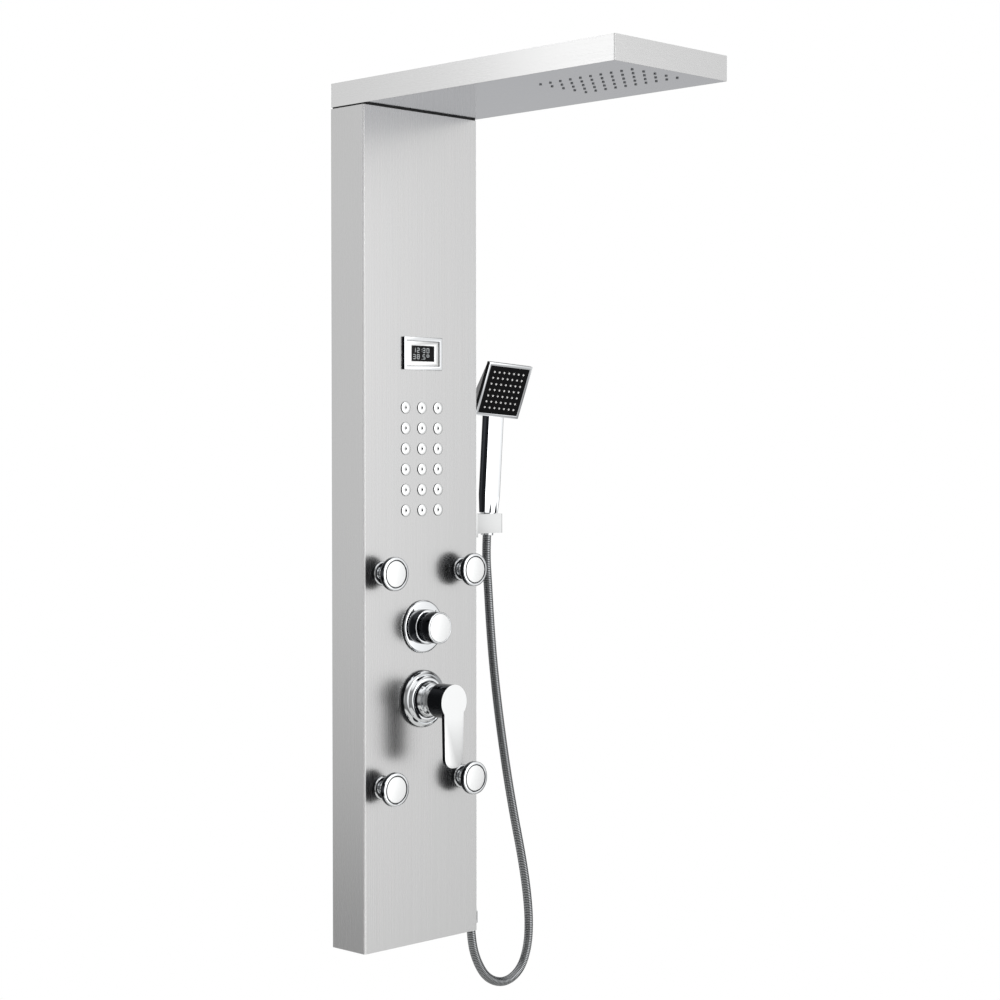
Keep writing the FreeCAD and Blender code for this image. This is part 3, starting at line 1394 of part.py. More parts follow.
def write():
    os.makedirs("parts", exist_ok=True)
    for node_name, piece in nodes.items():
        piece.Shape.exportStep(os.path.join("parts", node_name + ".step"))
    print(f"{len(nodes)} nodes, {sum(len(piece.Shape.Solids) for piece in nodes.values())} solids")


build()
check()
write()
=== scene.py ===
"""A wall-hung shower panel column: brushed stainless casing and rain head, chrome fittings, a
black-faced hand shower and a ribbed metal hose. Everything is in metres, in the part's frame.
Most sizes and places are written in millimetres and turned into metres by MM."""

import math

import bmesh
import bpy
from mathutils import Euler, Matrix, Vector


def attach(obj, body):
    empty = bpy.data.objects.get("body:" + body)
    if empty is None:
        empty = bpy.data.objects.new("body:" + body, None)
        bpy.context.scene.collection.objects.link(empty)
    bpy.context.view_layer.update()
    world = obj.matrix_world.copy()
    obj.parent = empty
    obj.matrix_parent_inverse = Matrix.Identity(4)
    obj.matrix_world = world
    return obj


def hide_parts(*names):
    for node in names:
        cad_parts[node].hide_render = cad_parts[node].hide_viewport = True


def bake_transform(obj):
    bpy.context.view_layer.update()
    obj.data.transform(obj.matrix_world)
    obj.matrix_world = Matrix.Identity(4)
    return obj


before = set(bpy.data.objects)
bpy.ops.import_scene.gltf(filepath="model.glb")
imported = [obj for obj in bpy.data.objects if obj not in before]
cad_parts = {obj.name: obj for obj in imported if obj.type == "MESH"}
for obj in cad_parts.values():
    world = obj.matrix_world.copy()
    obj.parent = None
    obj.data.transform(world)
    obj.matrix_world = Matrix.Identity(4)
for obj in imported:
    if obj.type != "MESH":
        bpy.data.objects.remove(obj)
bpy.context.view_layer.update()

MM = 0.001
# The height of the column's foot in metres, and the column's depth from the wall in millimetres.
FOOT = -0.900
COLUMN_DEPTH = 61


def at(x, y, up):
    """A place given in millimetres, with its height above the column's foot."""
    return Vector((x * MM, y * MM, FOOT + up * MM))


def turn(axis, degrees):
    """A turn about X, Y or Z."""
    return Matrix.Rotation(math.radians(degrees), 4, axis)


# --- materials ------------------------------------------------------------------------------

# Patterns are scaled in counts per metre, the streaks' along X, Y and Z. A streak is about
# 0.8 mm wide, on the flat of the head 8 mm, and a cloud about 380 mm or 17 mm. Real brushing is
# too fine to show, so the streaks are drawn coarser than it.
UPRIGHT = (1300, 1300, 3)
ALONG_HEAD = (120, 3, 1300)
ROLLING_CLOUDS = 2.6
POLISHING_CLOUDS = 60.0


def linear(hex_value):
    """The linear colour of an sRGB hex value."""
    channels = [int(hex_value[i:i + 2], 16) / 255 for i in (1, 3, 5)]
    return [c / 12.92 if c <= 0.04045 else ((c + 0.055) / 1.055) ** 2.4 for c in channels] + [1.0]


def add(tree, kind, settings=None, links=None):
    """One node with its properties, a ramp's stops, its socket values and what feeds its sockets."""
    node = tree.nodes.new(kind)
    for name, value in (settings or {}).items():
        if name == "stops":
            for stop, (position, colour) in zip(node.color_ramp.elements, value):
                stop.position = position
                stop.color = linear(colour)
        elif isinstance(name, str) and hasattr(node, name) and name not in node.inputs:
            setattr(node, name, value)
        else:
            node.inputs[name].default_value = value
    for name, source in (links or {}).items():
        tree.links.new(source, node.inputs[name])
    return node


def start_material(name, colour, metallic, roughness, **more):
    """A material with its plain values set, its node tree and its shader."""
    material = bpy.data.materials.new(name)
    material.use_nodes = True
    tree = material.node_tree
    shader = tree.nodes["Principled BSDF"]
    shader.inputs["Base Color"].default_value = linear(colour)
    shader.inputs["Metallic"].default_value = metallic
    shader.inputs["Roughness"].default_value = roughness
    for socket, value in more.items():
        shader.inputs[socket.replace("_", " ")].default_value = value
    material.diffuse_color = linear(colour)
    return material, tree, shader


def brushed_stainless(name, scales, colours, roughness):
    """Stainless steel brushed along one direction: streaks that are long along the grain and
    narrow across it, so its gloss is slightly uneven."""
    material, tree, shader = start_material(name, colours[1], 1.0, roughness)
    place = add(tree, "ShaderNodeTexCoord").outputs["Object"]
    fine = add(tree, "ShaderNodeMapping", {"Scale": scales}, {"Vector": place})
    streaks = add(tree, "ShaderNodeTexNoise", {"Scale": 1.0, "Detail": 3.0, "Roughness": 0.6},
                  {"Vector": fine.outputs["Vector"]})
    broad = add(tree, "ShaderNodeTexNoise", {"Scale": ROLLING_CLOUDS, "Detail": 2.0},
                {"Vector": place})
    tint = add(tree, "ShaderNodeValToRGB", {"stops": [(0.3, colours[0]), (0.7, colours[1])]},
               {"Fac": streaks.outputs["Fac"]})
    streak_gloss = add(tree, "ShaderNodeMapRange",
                       {"To Min": roughness - 0.035, "To Max": roughness + 0.035},
                       {"Value": streaks.outputs["Fac"]})
    broad_gloss = add(tree, "ShaderNodeMapRange", {"To Min": -0.03, "To Max": 0.03},
                      {"Value": broad.outputs["Fac"]})
    gloss = add(tree, "ShaderNodeMath", {"operation": "ADD"},
                {0: streak_gloss.outputs["Result"], 1: broad_gloss.outputs["Result"]})
    bump = add(tree, "ShaderNodeBump", {"Strength": 0.025, "Distance": 0.0002},
               {"Height": streaks.outputs["Fac"]})
    tree.links.new(tint.outputs["Color"], shader.inputs["Base Color"])
    tree.links.new(gloss.outputs["Value"], shader.inputs["Roughness"])
    tree.links.new(bump.outputs["Normal"], shader.inputs["Normal"])
    return material


def plated(name, colour, roughness, mottle=0.02):
    """Polished metal or chrome plate: a mirror with the faint unevenness of the polishing."""
    material, tree, shader = start_material(name, colour, 1.0, roughness)
    place = add(tree, "ShaderNodeTexCoord").outputs["Object"]
    cloud = add(tree, "ShaderNodeTexNoise", {"Scale": POLISHING_CLOUDS, "Detail": 2.0},
                {"Vector": place})
    gloss = add(tree, "ShaderNodeMapRange", {"To Min": roughness, "To Max": roughness + mottle},
                {"Value": cloud.outputs["Fac"]})
    bump = add(tree, "ShaderNodeBump", {"Strength": 0.02, "Distance": 0.0003},
               {"Height": cloud.outputs["Fac"]})
    tree.links.new(gloss.outputs["Result"], shader.inputs["Roughness"])
    tree.links.new(bump.outputs["Normal"], shader.inputs["Normal"])
    return material


def grained(name, colours, metallic, roughness, grain_mm, depth_mm, **more):
    """Moulded, turned or dull metal stuff with an even grain of a stated size in millimetres,
    which is drawn coarser than a real one so that it shows."""
    material, tree, shader = start_material(name, colours[1], metallic, roughness, **more)
    place = add(tree, "ShaderNodeTexCoord").outputs["Object"]
    grain = add(tree, "ShaderNodeTexNoise", {"Scale": 1000.0 / grain_mm, "Detail": 2.0},
                {"Vector": place})
    tint = add(tree, "ShaderNodeValToRGB", {"stops": [(0.3, colours[0]), (0.7, colours[1])]},
               {"Fac": grain.outputs["Fac"]})
    gloss = add(tree, "ShaderNodeMapRange",
                {"To Min": roughness - 0.04, "To Max": roughness + 0.04},
                {"Value": grain.outputs["Fac"]})
    bump = add(tree, "ShaderNodeBump", {"Strength": 0.2, "Distance": depth_mm * MM},
               {"Height": grain.outputs["Fac"]})
    tree.links.new(tint.outputs["Color"], shader.inputs["Base Color"])
    tree.links.new(gloss.outputs["Result"], shader.inputs["Roughness"])
    tree.links.new(bump.outputs["Normal"], shader.inputs["Normal"])
    return material


# The column's brushed sheet: a soft grey sheen with an upright grain.
column_steel = brushed_stainless("brushed stainless, upright grain", UPRIGHT,
                                 ("#C5C5C5", "#C9C9C9"), 0.27)
# The head's brushed sheet: the same sheen, a little paler, with the grain along the head.
head_steel = brushed_stainless("brushed stainless, grain along the head", ALONG_HEAD,
                               ("#D6D6D6", "#DADADA"), 0.27)
# The head's smooth underside: clearer reflections than on the brushed sheet.
plate_steel = brushed_stainless("smooth stainless spray plate", ALONG_HEAD,
                                ("#B6B8BE", "#BABCC2"), 0.12)
# Drawn pipe: a soft grey sheen with lines along it.
tube_steel = brushed_stainless("drawn stainless tube", UPRIGHT, ("#A9ABAC", "#BFC0C0"), 0.28)
# The rounded bends of the sheet: a painted highlight, an even pale line along each edge.
painted_highlight_bend_steel = grained("stainless with a painted highlight at the bends", ("#F8F8F8", "#FDFDFD"),
                     0.1, 0.4, 2.0, 0.01)
# Polished chrome: a bright, nearly clear mirror.
chrome = plated("polished chrome on brass", "#EEF0F2", 0.05)
# Chrome painted nearly black, which outlines the fittings and ribs: a painted dark reflection on the
# sides of the fittings, jets, bezel and hand shower, and painted shade in the hose's grooves, the jets'
# recesses, the small jets' holes and the handle's flutes.
painted_dark_chrome = plated("chrome painted dark for reflection and shade", "#303236", 0.07)
# Wound strip: a mirror that is greyer and less clear than the chrome.
hose_steel = plated("wound stainless hose", "#AEB0B2", 0.10)
# Satin chrome: a pale, soft sheen with no clear reflections.
satin_chrome = plated("satin chrome", "#F2F3F3", 0.30)
# Chrome on a casting: bright, with slightly blurred reflections.
holder_chrome = plated("bright chrome on the cast holder", "#F4F5F5", 0.12)
# Zinc plate: dull, slightly mottled grey metal.
steel_zinc = grained("zinc plated steel", ("#9A9C9D", "#AEB0B1"), 1.0, 0.38, 1.5, 0.05)
# Turned brass: softly shining yellow metal.
brass = grained("turned brass", ("#B08A45", "#C19C57"), 1.0, 0.34, 1.0, 0.05)
# Silicone: matt grey.
silicone = grained("grey silicone rubber", ("#7D7F81", "#8B8D8F"), 0.0, 0.55, 0.6, 0.05)
# Rubber: matt and nearly black.
gasket_rubber = grained("black rubber", ("#141414", "#1D1D1D"), 0.0, 0.6, 0.6, 0.05)
# Glossy moulded plastic: deep black with a weak shine. It is also a painted dark reflection on the left
# and right sides of the hand shower's back.
black_abs_and_painted_dark = grained("black gloss ABS", ("#050506", "#08080A"), 0.0, 0.14, 1.2, 0.02,
                    Specular_IOR_Level=0.15)
# Liquid crystal segments: flat, pale bars on the dark screen.
segment_print = grained("pale liquid crystal segments", ("#C9CFD1", "#D6DBDC"),
                        0.0, 0.4, 0.6, 0.01)
# Glossy moulded plastic: clean white with a shine.
white_abs = grained("white gloss ABS", ("#ECECEA", "#F3F3F1"), 0.0, 0.22, 1.2, 0.02)
# Textured moulded plastic: dull mid grey.
grey_abs = grained("grey moulded ABS", ("#5C5E60", "#686A6C"), 0.0, 0.5, 0.9, 0.05)
# Tinted acrylic: a smooth dark window that shows what is behind it.
tinted_window = start_material("clear tinted acrylic window", "#222426", 0.0, 0.05, Alpha=0.35)[0]

# The finish of each CAD node.
FINISHES = {
    column_steel: ["column_casing", "column_top_cap", "column_bottom_cap"],
    head_steel: ["head_casing"],
    plate_steel: ["head_spray_plate"],
    chrome: ["display_bezel", "mini_jet_caps", "diverter_flange", "diverter_collar", "diverter_knob",
             "diverter_knob_cap", "mixer_flange", "mixer_bonnet", "mixer_retaining_ring",
             "mixer_rotor", "mixer_lever", "jet_bases", "handset_body", "handset_frame", "hose_top_nut",
             "outlet_elbow", "hose_bottom_nut", "hose"],
    satin_chrome: ["display_inner_frame", "holder_bracket"],
    steel_zinc: ["cross_straps", "wall_brackets", "panel_screws", "head_screws", "mixer_lever_pin"],
    tube_steel: ["riser_pipe", "jet_loop_pipe", "link_pipes"],
    brass: ["jet_nuts", "diverter_valve_body", "diverter_stem", "mixer_valve_body",
            "mixer_cartridge", "inlet_unions", "temperature_sensor"],
    silicone: ["head_nozzle_mat"],
    gasket_rubber: ["head_gasket"],
    black_abs_and_painted_dark: ["handset_spray_face", "display_module"],
    white_abs: ["handset_nozzles"],
    grey_abs: ["head_water_chamber", "mini_jet_manifold"],
    tinted_window: ["display_lens"],
}
# Each body jet's place across the column's front and above its foot.
JETS = {"upper_left": (-70, 480), "upper_right": (70, 480),
        "lower_left": (-70, 208), "lower_right": (70, 208)}
for side in JETS:
    FINISHES[chrome] += [f"jet_seat_{side}", f"jet_head_{side}"]
    FINISHES[satin_chrome].append(f"jet_face_{side}")
for material, names in FINISHES.items():
    for name in names:
        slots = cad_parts[name].data.materials
        slots.clear()
        slots.append(material)


# --- ways of making a piece -----------------------------------------------------------------

OUTWARD = turn("X", 90)
IN_PLACE = Matrix.Identity(4)


def on_front(x, up):
    """The place on the column's front at which a piece stands out from it."""
    return Matrix.Translation(at(x, -COLUMN_DEPTH, up)) @ OUTWARD


def begin():
    """Leaves edit mode and selects nothing, as every new piece starts."""
    if bpy.context.object and bpy.context.object.mode != "OBJECT":
        bpy.ops.object.mode_set(mode="OBJECT")
    bpy.ops.object.select_all(action="DESELECT")


def pick(piece, wanted):
    """Selects the faces whose middle and normal are wanted, in edit mode."""
    bpy.ops.mesh.select_mode(type="FACE")
    shape = bmesh.from_edit_mesh(piece.data)
    for face in shape.faces:
        face.select_set(bool(wanted(face.calc_center_median() / MM, face.normal)))
    bmesh.update_edit_mesh(piece.data)


def soften(piece, width, segments=2, angle=30, smooth=35):
    """Breaks the edges sharper than an angle by a width in millimetres, and shades the piece
    smooth over edges below the angle given as smooth."""
    begin()
    bpy.context.view_layer.objects.active = piece
    piece.select_set(True)
    if width:
        bevel = piece.modifiers.new("broken edges", "BEVEL")
        bevel.width = width * MM
        bevel.segments = segments
        bevel.limit_method = "ANGLE"
        bevel.angle_limit = math.radians(angle)
        bpy.ops.object.modifier_apply(modifier=bevel.name)
    bpy.ops.object.shade_smooth_by_angle(angle=math.radians(smooth))
    return piece


def turned(steps, sides=96, edge=0):
    """A round piece grown from a disc along +Z: for each (radius, height) in millimetres its last
    face is extruded and resized."""
    begin()
    radius, height = steps[0]
    bpy.ops.mesh.primitive_circle_add(vertices=sides, radius=radius * MM, fill_type="NGON",
                                      location=(0, 0, height * MM))
    piece = bpy.context.object
    bpy.ops.object.transform_apply(location=True)
    bpy.ops.object.mode_set(mode="EDIT")
    bpy.ops.mesh.select_mode(type="FACE")
    bpy.ops.mesh.select_all(action="SELECT")
    for new_radius, new_height in steps[1:]:
        bpy.ops.mesh.extrude_region_move(
            TRANSFORM_OT_translate={"value": (0, 0, (new_height - height) * MM)})
        scale = new_radius / radius
        bpy.ops.transform.resize(value=(scale, scale, 1), center_override=(0, 0, new_height * MM))
        radius, height = new_radius, new_height
    bpy.ops.mesh.select_all(action="SELECT")
    bpy.ops.mesh.normals_make_consistent(inside=False)
    bpy.ops.object.mode_set(mode="OBJECT")
    return soften(piece, edge)


def block(size, low=(0, 0, 0)):
    """A block of a size, with the middle of its lowest face at low, left in edit mode."""
    begin()
    middle = (low[0] * MM, low[1] * MM, (low[2] + size[2] / 2) * MM)
    bpy.ops.mesh.primitive_cube_add(size=1, location=middle)
    piece = bpy.context.object
    piece.scale = [length * MM for length in size]
    bpy.ops.object.transform_apply(location=True, scale=True)
    bpy.ops.object.mode_set(mode="EDIT")
    return piece


def inset(width):
    """Draws the selected faces in by a width in millimetres."""
    bpy.ops.mesh.inset(thickness=width * MM)


def push(rise):
    """Extrudes the selected faces along Z by a height in millimetres."""
    bpy.ops.mesh.extrude_region_move(TRANSFORM_OT_translate={"value": (0, 0, rise * MM)})


def pick_edges(piece, wanted):
    """Selects the edges whose middle and direction are wanted, in edit mode."""
    bpy.ops.mesh.select_mode(type="EDGE")
    bpy.ops.mesh.select_all(action="DESELECT")
    shape = bmesh.from_edit_mesh(piece.data)
    for edge in shape.edges:
        one, two = (vertex.co / MM for vertex in edge.verts)
        edge.select_set(bool(wanted((one + two) / 2, (two - one).normalized())))
    bmesh.update_edit_mesh(piece.data)


def round_edges(piece, wanted, width, segments):
    """Rounds the wanted edges by a width in millimetres, in edit mode."""
    pick_edges(piece, wanted)
    bpy.ops.mesh.bevel(offset=width * MM, segments=segments, affect="EDGES")


def combine(piece, tool, operation):
    """Adds a tool's shape to a piece or cuts it away, and removes the tool."""
    begin()
    bpy.context.view_layer.objects.active = piece
    step = piece.modifiers.new("combine", "BOOLEAN")
    step.operation = operation
    step.object = tool
    bpy.ops.object.modifier_apply(modifier=step.name)
    bpy.data.objects.remove(tool)


def merged_copy(node):
    """A copy of a CAD node with its loose triangles joined into faces."""
    begin()
    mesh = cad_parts[node].data.copy()
    piece = bpy.data.objects.new(node + "_finished", mesh)
    bpy.context.scene.collection.objects.link(piece)
    bpy.context.view_layer.objects.active = piece
    piece.select_set(True)
    bpy.ops.object.mode_set(mode="EDIT")
    bpy.ops.mesh.select_all(action="SELECT")
    bpy.ops.mesh.remove_doubles(threshold=0.00001)
    bpy.ops.mesh.dissolve_limited(angle_limit=math.radians(1))
    bpy.ops.mesh.normals_make_consistent(inside=False)
    bpy.ops.object.mode_set(mode="OBJECT")
    return piece


def join(pieces):
    """Several pieces as one object."""
    begin()
    for piece in pieces:
        piece.select_set(True)
    bpy.context.view_layer.objects.active = pieces[0]
    bpy.ops.object.join()
    return pieces[0]


def sideways(middle, normal):
    """Faces that stand round a piece's axis, rather than across it: the sides that get a painted dark
    reflection.
    """
    return normal.z < 0.35


def paint(piece, material, other=None, wanted=None):
    """Gives a piece its material, and another one to the faces that are wanted."""
    piece.data.materials.clear()
    piece.data.materials.append(material)
    if other:
        piece.data.materials.append(other)
        for face in piece.data.polygons:
            face.material_index = 1 if wanted(face.center / MM, face.normal) else 0
    return piece


def set_down(piece, place, name, body, replaced=()):
    """Moves a piece's mesh to its place, names it and says which body carries it."""
    begin()
    piece.data.transform(place)
    piece.name = name
    piece.data.name = name
    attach(piece, body)
    if replaced:
        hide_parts(*replaced)
    return piece


# --- camera ---------------------------------------------------------------------------------

# Its place, turn and lens are fitted to the edges of the column and the head.
camera = bpy.data.objects.new("camera", bpy.data.cameras.new("camera"))
bpy.context.scene.collection.objects.link(camera)
camera.location = (-1.92009, -2.09290, -0.26449)
camera.rotation_euler = Euler([math.radians(angle) for angle in (88.6868, 0.0364, -45.439)])
camera.data.sensor_width = 36
camera.data.lens = 78.193
camera.data.clip_end = 50
bpy.context.scene.camera = camera


# --- hose -----------------------------------------------------------------------------------

# The hand shower's own axis and front, as it hangs in the holder.
HANDSET_PLACE = Matrix.Translation(at(138.5, -42, 538)) @ turn("Y", 4) @ turn("Z", -6)
HOSE_RADIUS = 6 * MM
HOSE_POINTS = [(117, -31, 3), (117.8, -31.5, -22), (126.5, -32.5, -51), (145.5, -33.5, -78),
               (178, -34.5, -89.5), (208, -35.5, -77), (222.5, -36, -46), (224.5, -36.5, -8),
               (219, -37, 34), (208.5, -38, 80), (194.5, -38.5, 131.5), (180.8, -39, 187),
               (169, -39.5, 243), (158.3, -40, 300), (149.8, -40.5, 356), (143.6, -41, 411),
               (139.7, -41.6, 455)]
# How far the hose's upper end lies below the hand shower's own origin, and the straight length
# that leads to it.
UPPER_END, UPPER_STRAIGHT = 16 * MM, 26 * MM


def hose_spline():
    """The hose's line, from the outlet's nut to the hand shower's."""
    last = HANDSET_PLACE @ Vector((0, 0, -UPPER_END))
    axis = HANDSET_PLACE.to_3x3() @ Vector((0, 0, 1))
    route = [at(*point) for point in HOSE_POINTS] + [last - axis * UPPER_STRAIGHT, last]
    curve = bpy.data.curves.new("hose_line", "CURVE")
    curve.dimensions = "3D"
    spline = curve.splines.new("NURBS")
    spline.points.add(len(route) - 1)
    for point, place in zip(spline.points, route):
        point.co = (*place, 1)
    spline.order_u = 3
    spline.use_endpoint_u = True
    spline.resolution_u = 12
    line = bpy.data.objects.new("hose_line", curve)
    bpy.context.scene.collection.objects.link(line)
    bpy.context.view_layer.update()
    mesh = bpy.data.meshes.new_from_object(line)
    path = [vertex.co.copy() for vertex in mesh.vertices]
    bpy.data.objects.remove(line)
    bpy.data.meshes.remove(mesh)
    return path


def along(path, step):
    """Places at even distances along a path, and the path's length."""
    gaps = [(b - a).length for a, b in zip(path, path[1:])]
    total = sum(gaps)
    count = round(total / step)
    result = []
    index, passed = 0, 0.0
    for i in range(count + 1):
        distance = total * i / count
        while index < len(gaps) - 1 and passed + gaps[index] < distance:
            passed += gaps[index]
            index += 1
        part = (distance - passed) / gaps[index]
        result.append(path[index].lerp(path[index + 1], part))
    return result, total


hose_path = hose_spline()
RIB_PITCH = 2.4 * MM
# How far each ring of one rib lies below the crest, in millimetres. GROOVE numbers the bands between
# rings that make the groove, which gets a painted shade.
RIB_DROPS = (-0.6, -0.6, -0.03, 0.0, 0.0, 0.0, -0.03)
GROOVE = (0, 1, len(RIB_DROPS) - 1)
HOSE_SIDES = 20
# Places at even steps along the hose's line, one for each ring, and the line's length.
stations, hose_length = along(hose_path, RIB_PITCH / len(RIB_DROPS))
hose_shell = bmesh.new()
into_wall = Vector((0, 1, 0))
rings = []
for number, centre in enumerate(stations):
    ahead = stations[min(number + 1, len(stations) - 1)]
    behind = stations[max(number - 1, 0)]
    direction = (ahead - behind).normalized()
    first = into_wall.cross(direction).normalized()
    second = direction.cross(first)
    radius = HOSE_RADIUS + RIB_DROPS[number % len(RIB_DROPS)] * MM
    ring = []
    for k in range(HOSE_SIDES):
        angle = 2 * math.pi * k / HOSE_SIDES
        outward = first * math.cos(angle) + second * math.sin(angle)
        ring.append(hose_shell.verts.new(centre + outward * radius))
    rings.append(ring)
for one, two in zip(rings, rings[1:]):
    for k in range(HOSE_SIDES):
        after = (k + 1) % HOSE_SIDES
        hose_shell.faces.new((one[k], one[after], two[after], two[k]))
hose_shell.faces.new(list(reversed(rings[0])))
hose_shell.faces.new(rings[-1])
bmesh.ops.recalc_face_normals(hose_shell, faces=hose_shell.faces)
hose_mesh = bpy.data.meshes.new("shower_hose")
hose_shell.to_mesh(hose_mesh)
hose = bpy.data.objects.new("shower_hose", hose_mesh)
bpy.context.scene.collection.objects.link(hose)
hose_mesh.materials.append(hose_steel)
hose_mesh.materials.append(painted_dark_chrome)
# The groove's faces are painted nearly black: a painted shade in the grooves.
for face in hose_mesh.polygons:
    in_groove = face.index // HOSE_SIDES % len(RIB_DROPS) in GROOVE
    face.material_index = 1 if in_groove else 0
    face.use_smooth = not in_groove
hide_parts("hose")
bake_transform(hose)


# --- body jets ------------------------------------------------------------------------------

def jet_ring():
    """The fixed ring in which a jet's ball sits, with its shank through the column's front."""
    ring = turned([(10.5, -23), (10.5, 0), (15.5, 0), (15.5, 2.6), (15.0, 3.8), (13.8, 4.5),
                   (9.6, 4.5), (8.9, 3.6), (8.9, 1.6)], sides=72, edge=0.25)
    # The ring's sides are painted nearly black: a painted dark reflection.
    return paint(ring, chrome, painted_dark_chrome, sideways)


def jet_tip():
    """A ball, a narrow neck and a disc with a raised rim round its recess."""
    ball_radius, ball_middle = 9, 1.5
    rises = (-6, -4.5, -3, -1.5, 0, 1.5, 3, 4.5, 6, 6.8)
    ball = [(math.sqrt(ball_radius ** 2 - rise * rise), ball_middle + rise) for rise in rises]
    neck = [(5.6, 8.9), (5.5, 9.8), (5.8, 10.8), (6.8, 12.0), (8.6, 13.4), (11.2, 14.9), (14.2, 16.3),
            (17.2, 17.5), (19.6, 18.7), (20.9, 19.8), (21.5, 21.2)]
    disc = [(21.5, 26.1), (21.1, 27.1), (20.3, 27.5), (18.4, 27.5), (17.9, 27.1), (17.8, 25.0)]
    tip = turned(ball + neck + disc, sides=72)
    # The flare under the disc and the disc's side are painted nearly black as a painted dark
    # reflection, and the wall inside the rim as a painted shade.
    return paint(tip, chrome, painted_dark_chrome, lambda middle, normal:
                 middle.z > 12 and (normal.z < 0.3 or middle.xy.length < 17.9))


def jet_face():
    """The pale face in the recess of a jet's disc."""
    face = turned([(16.6, 25.2), (16.6, 26.9), (16.2, 27.25), (15.2, 27.35)], sides=72)
    return paint(face, satin_chrome)


rings = []
for side, (x, up) in JETS.items():
    seat = on_front(x, up)
    ring = jet_ring()
    ring.data.transform(seat)
    rings.append(ring)
    set_down(jet_tip(), seat, f"jet_{side}_tip", f"jet_tip_{side}", [f"jet_head_{side}"])
    set_down(jet_face(), seat, f"jet_{side}_face", f"jet_tip_{side}",
             [f"jet_face_{side}"])
set_down(join(rings), IN_PLACE, "jet_base_rings", "panel", ["jet_bases"])


# --- diverter -------------------------------------------------------------------------------

DIVERTER = on_front(0, 408.5)
# The plate's sides are painted nearly black: a painted dark reflection.
flange = paint(turned([(34, 0), (34, 2.2), (33.6, 3.2), (32.6, 3.9), (31, 4.0), (16, 4.0)]),
               chrome, painted_dark_chrome, sideways)
set_down(flange, DIVERTER, "diverter_plate", "panel", ["diverter_flange"])
# The neck's sides are painted nearly black: a painted dark reflection.
collar = paint(turned([(22.4, 4.0), (22.4, 11.4), (22.0, 12.1), (21.3, 12.4), (17.6, 12.4),
                       (16.8, 15.0), (6, 15.0)]), chrome, painted_dark_chrome, sideways)
set_down(collar, DIVERTER, "diverter_neck", "panel", ["diverter_collar"])
grip = turned([(13, 16), (17.4, 16), (17.4, 18.8), (19.6, 18.8), (20.2, 19.1), (20.4, 19.8),
               (20.4, 33.0), (20.1, 33.7), (19.4, 34.0), (18.6, 34.0), (18.5, 32.6)], edge=0.2)
nub = turned([(1.3, 17), (1.3, 22.2), (0.9, 22.6)], sides=24, edge=0.1)
nub.data.transform(Matrix.Translation((0, 0, 26.5 * MM)) @ turn("X", -90))
# The grip's sides are painted nearly black: a painted dark reflection.
set_down(paint(join([grip, nub]), chrome, painted_dark_chrome, sideways), DIVERTER, "diverter_grip",
         "diverter_knob", ["diverter_knob"])
cap = paint(turned([(18.3, 32.6), (18.3, 33.9), (18.0, 34.2), (17.0, 34.3)]), satin_chrome)
set_down(cap, DIVERTER, "diverter_grip_cap", "diverter_knob", ["diverter_knob_cap"])


# --- mixer ----------------------------------------------------------------------------------

MIXER = on_front(0, 315.5)
rosette = turned([(37, 0), (37, 3.0), (36.6, 4.4), (35.6, 5.9), (33.8, 7.4), (31.9, 8.2),
                  (31.3, 7.6), (30.7, 8.2), (29.9, 9.9), (28.2, 11.3), (26.2, 12.0), (24.2, 12.0),
                  (23.2, 10.8)])
# The plate's sides are painted nearly black: a painted dark reflection.
paint(rosette, chrome, painted_dark_chrome, sideways)
set_down(rosette, MIXER, "mixer_plate", "panel", ["mixer_flange"])
bonnet = turned([(23, 8), (23, 13.2), (22.6, 14.4), (21.0, 18.4), (20.4, 19.0), (16.4, 19.0)],
                edge=0.15)
# The neck's sides are painted nearly black: a painted dark reflection.
paint(bonnet, chrome, painted_dark_chrome, sideways)
set_down(bonnet, MIXER, "mixer_neck", "panel", ["mixer_bonnet"])


def mixer_handle():
    """A drum with a flat paddle that hangs from its front."""
    drum = turned([(19.7, 37), (19.7, 33), (22.0, 33), (22.3, 33.4), (22.3, 59)])
    paddle = block((35, 84, 5), (0, -42, 54))
    pick(paddle, lambda middle, normal: normal.y < -0.5)
    bpy.ops.transform.resize(value=(31 / 35, 1, 1))
    round_edges(paddle, lambda middle, way: abs(way.z) > 0.9 and middle.y < -80, 13, 14)
    bpy.ops.object.mode_set(mode="OBJECT")
    combine(paddle, drum, "UNION")
    soften(paddle, 0.7, 3, 40)
    # The drum's and paddle's sides are painted nearly black: a painted dark reflection.
    return paint(paddle, satin_chrome, painted_dark_chrome, sideways)


set_down(mixer_handle(), MIXER, "mixer_handle", "mixer_lever", ["mixer_lever"])


# --- small jets -----------------------------------------------------------------------------

# The lowest row's height, and how far apart the small jets are across and up.
SMALL_JETS_UP = 558.5
SMALL_JETS_APART = (28.5, 26.3)
caps = []
for column in range(3):
    for row in range(6):
        x, up = (column - 1) * SMALL_JETS_APART[0], SMALL_JETS_UP + row * SMALL_JETS_APART[1]
        small = turned([(7.8, 0), (7.8, 0.8), (7.5, 1.3), (6.8, 1.6), (2.2, 1.6), (1.3, 1.3),
                        (0.9, 0.4)], sides=40)
        # The hole in the middle is painted nearly black as a painted shade, and the sloping sides as a
        # painted dark reflection.
        paint(small, satin_chrome, painted_dark_chrome,
              lambda middle, normal: middle.xy.length < 0.95 or normal.z < 0.5)
        small.data.transform(on_front(x, up))
        caps.append(small)
set_down(join(caps), IN_PLACE, "small_jet_caps", "panel", ["mini_jet_caps"])


# --- display --------------------------------------------------------------------------------

DISPLAY = on_front(0, 759.5)
bezel = block((67, 42, 3.5))
pick(bezel, lambda middle, normal: normal.z > 0.5)
inset(5)
push(-3.2)
bpy.ops.object.mode_set(mode="OBJECT")
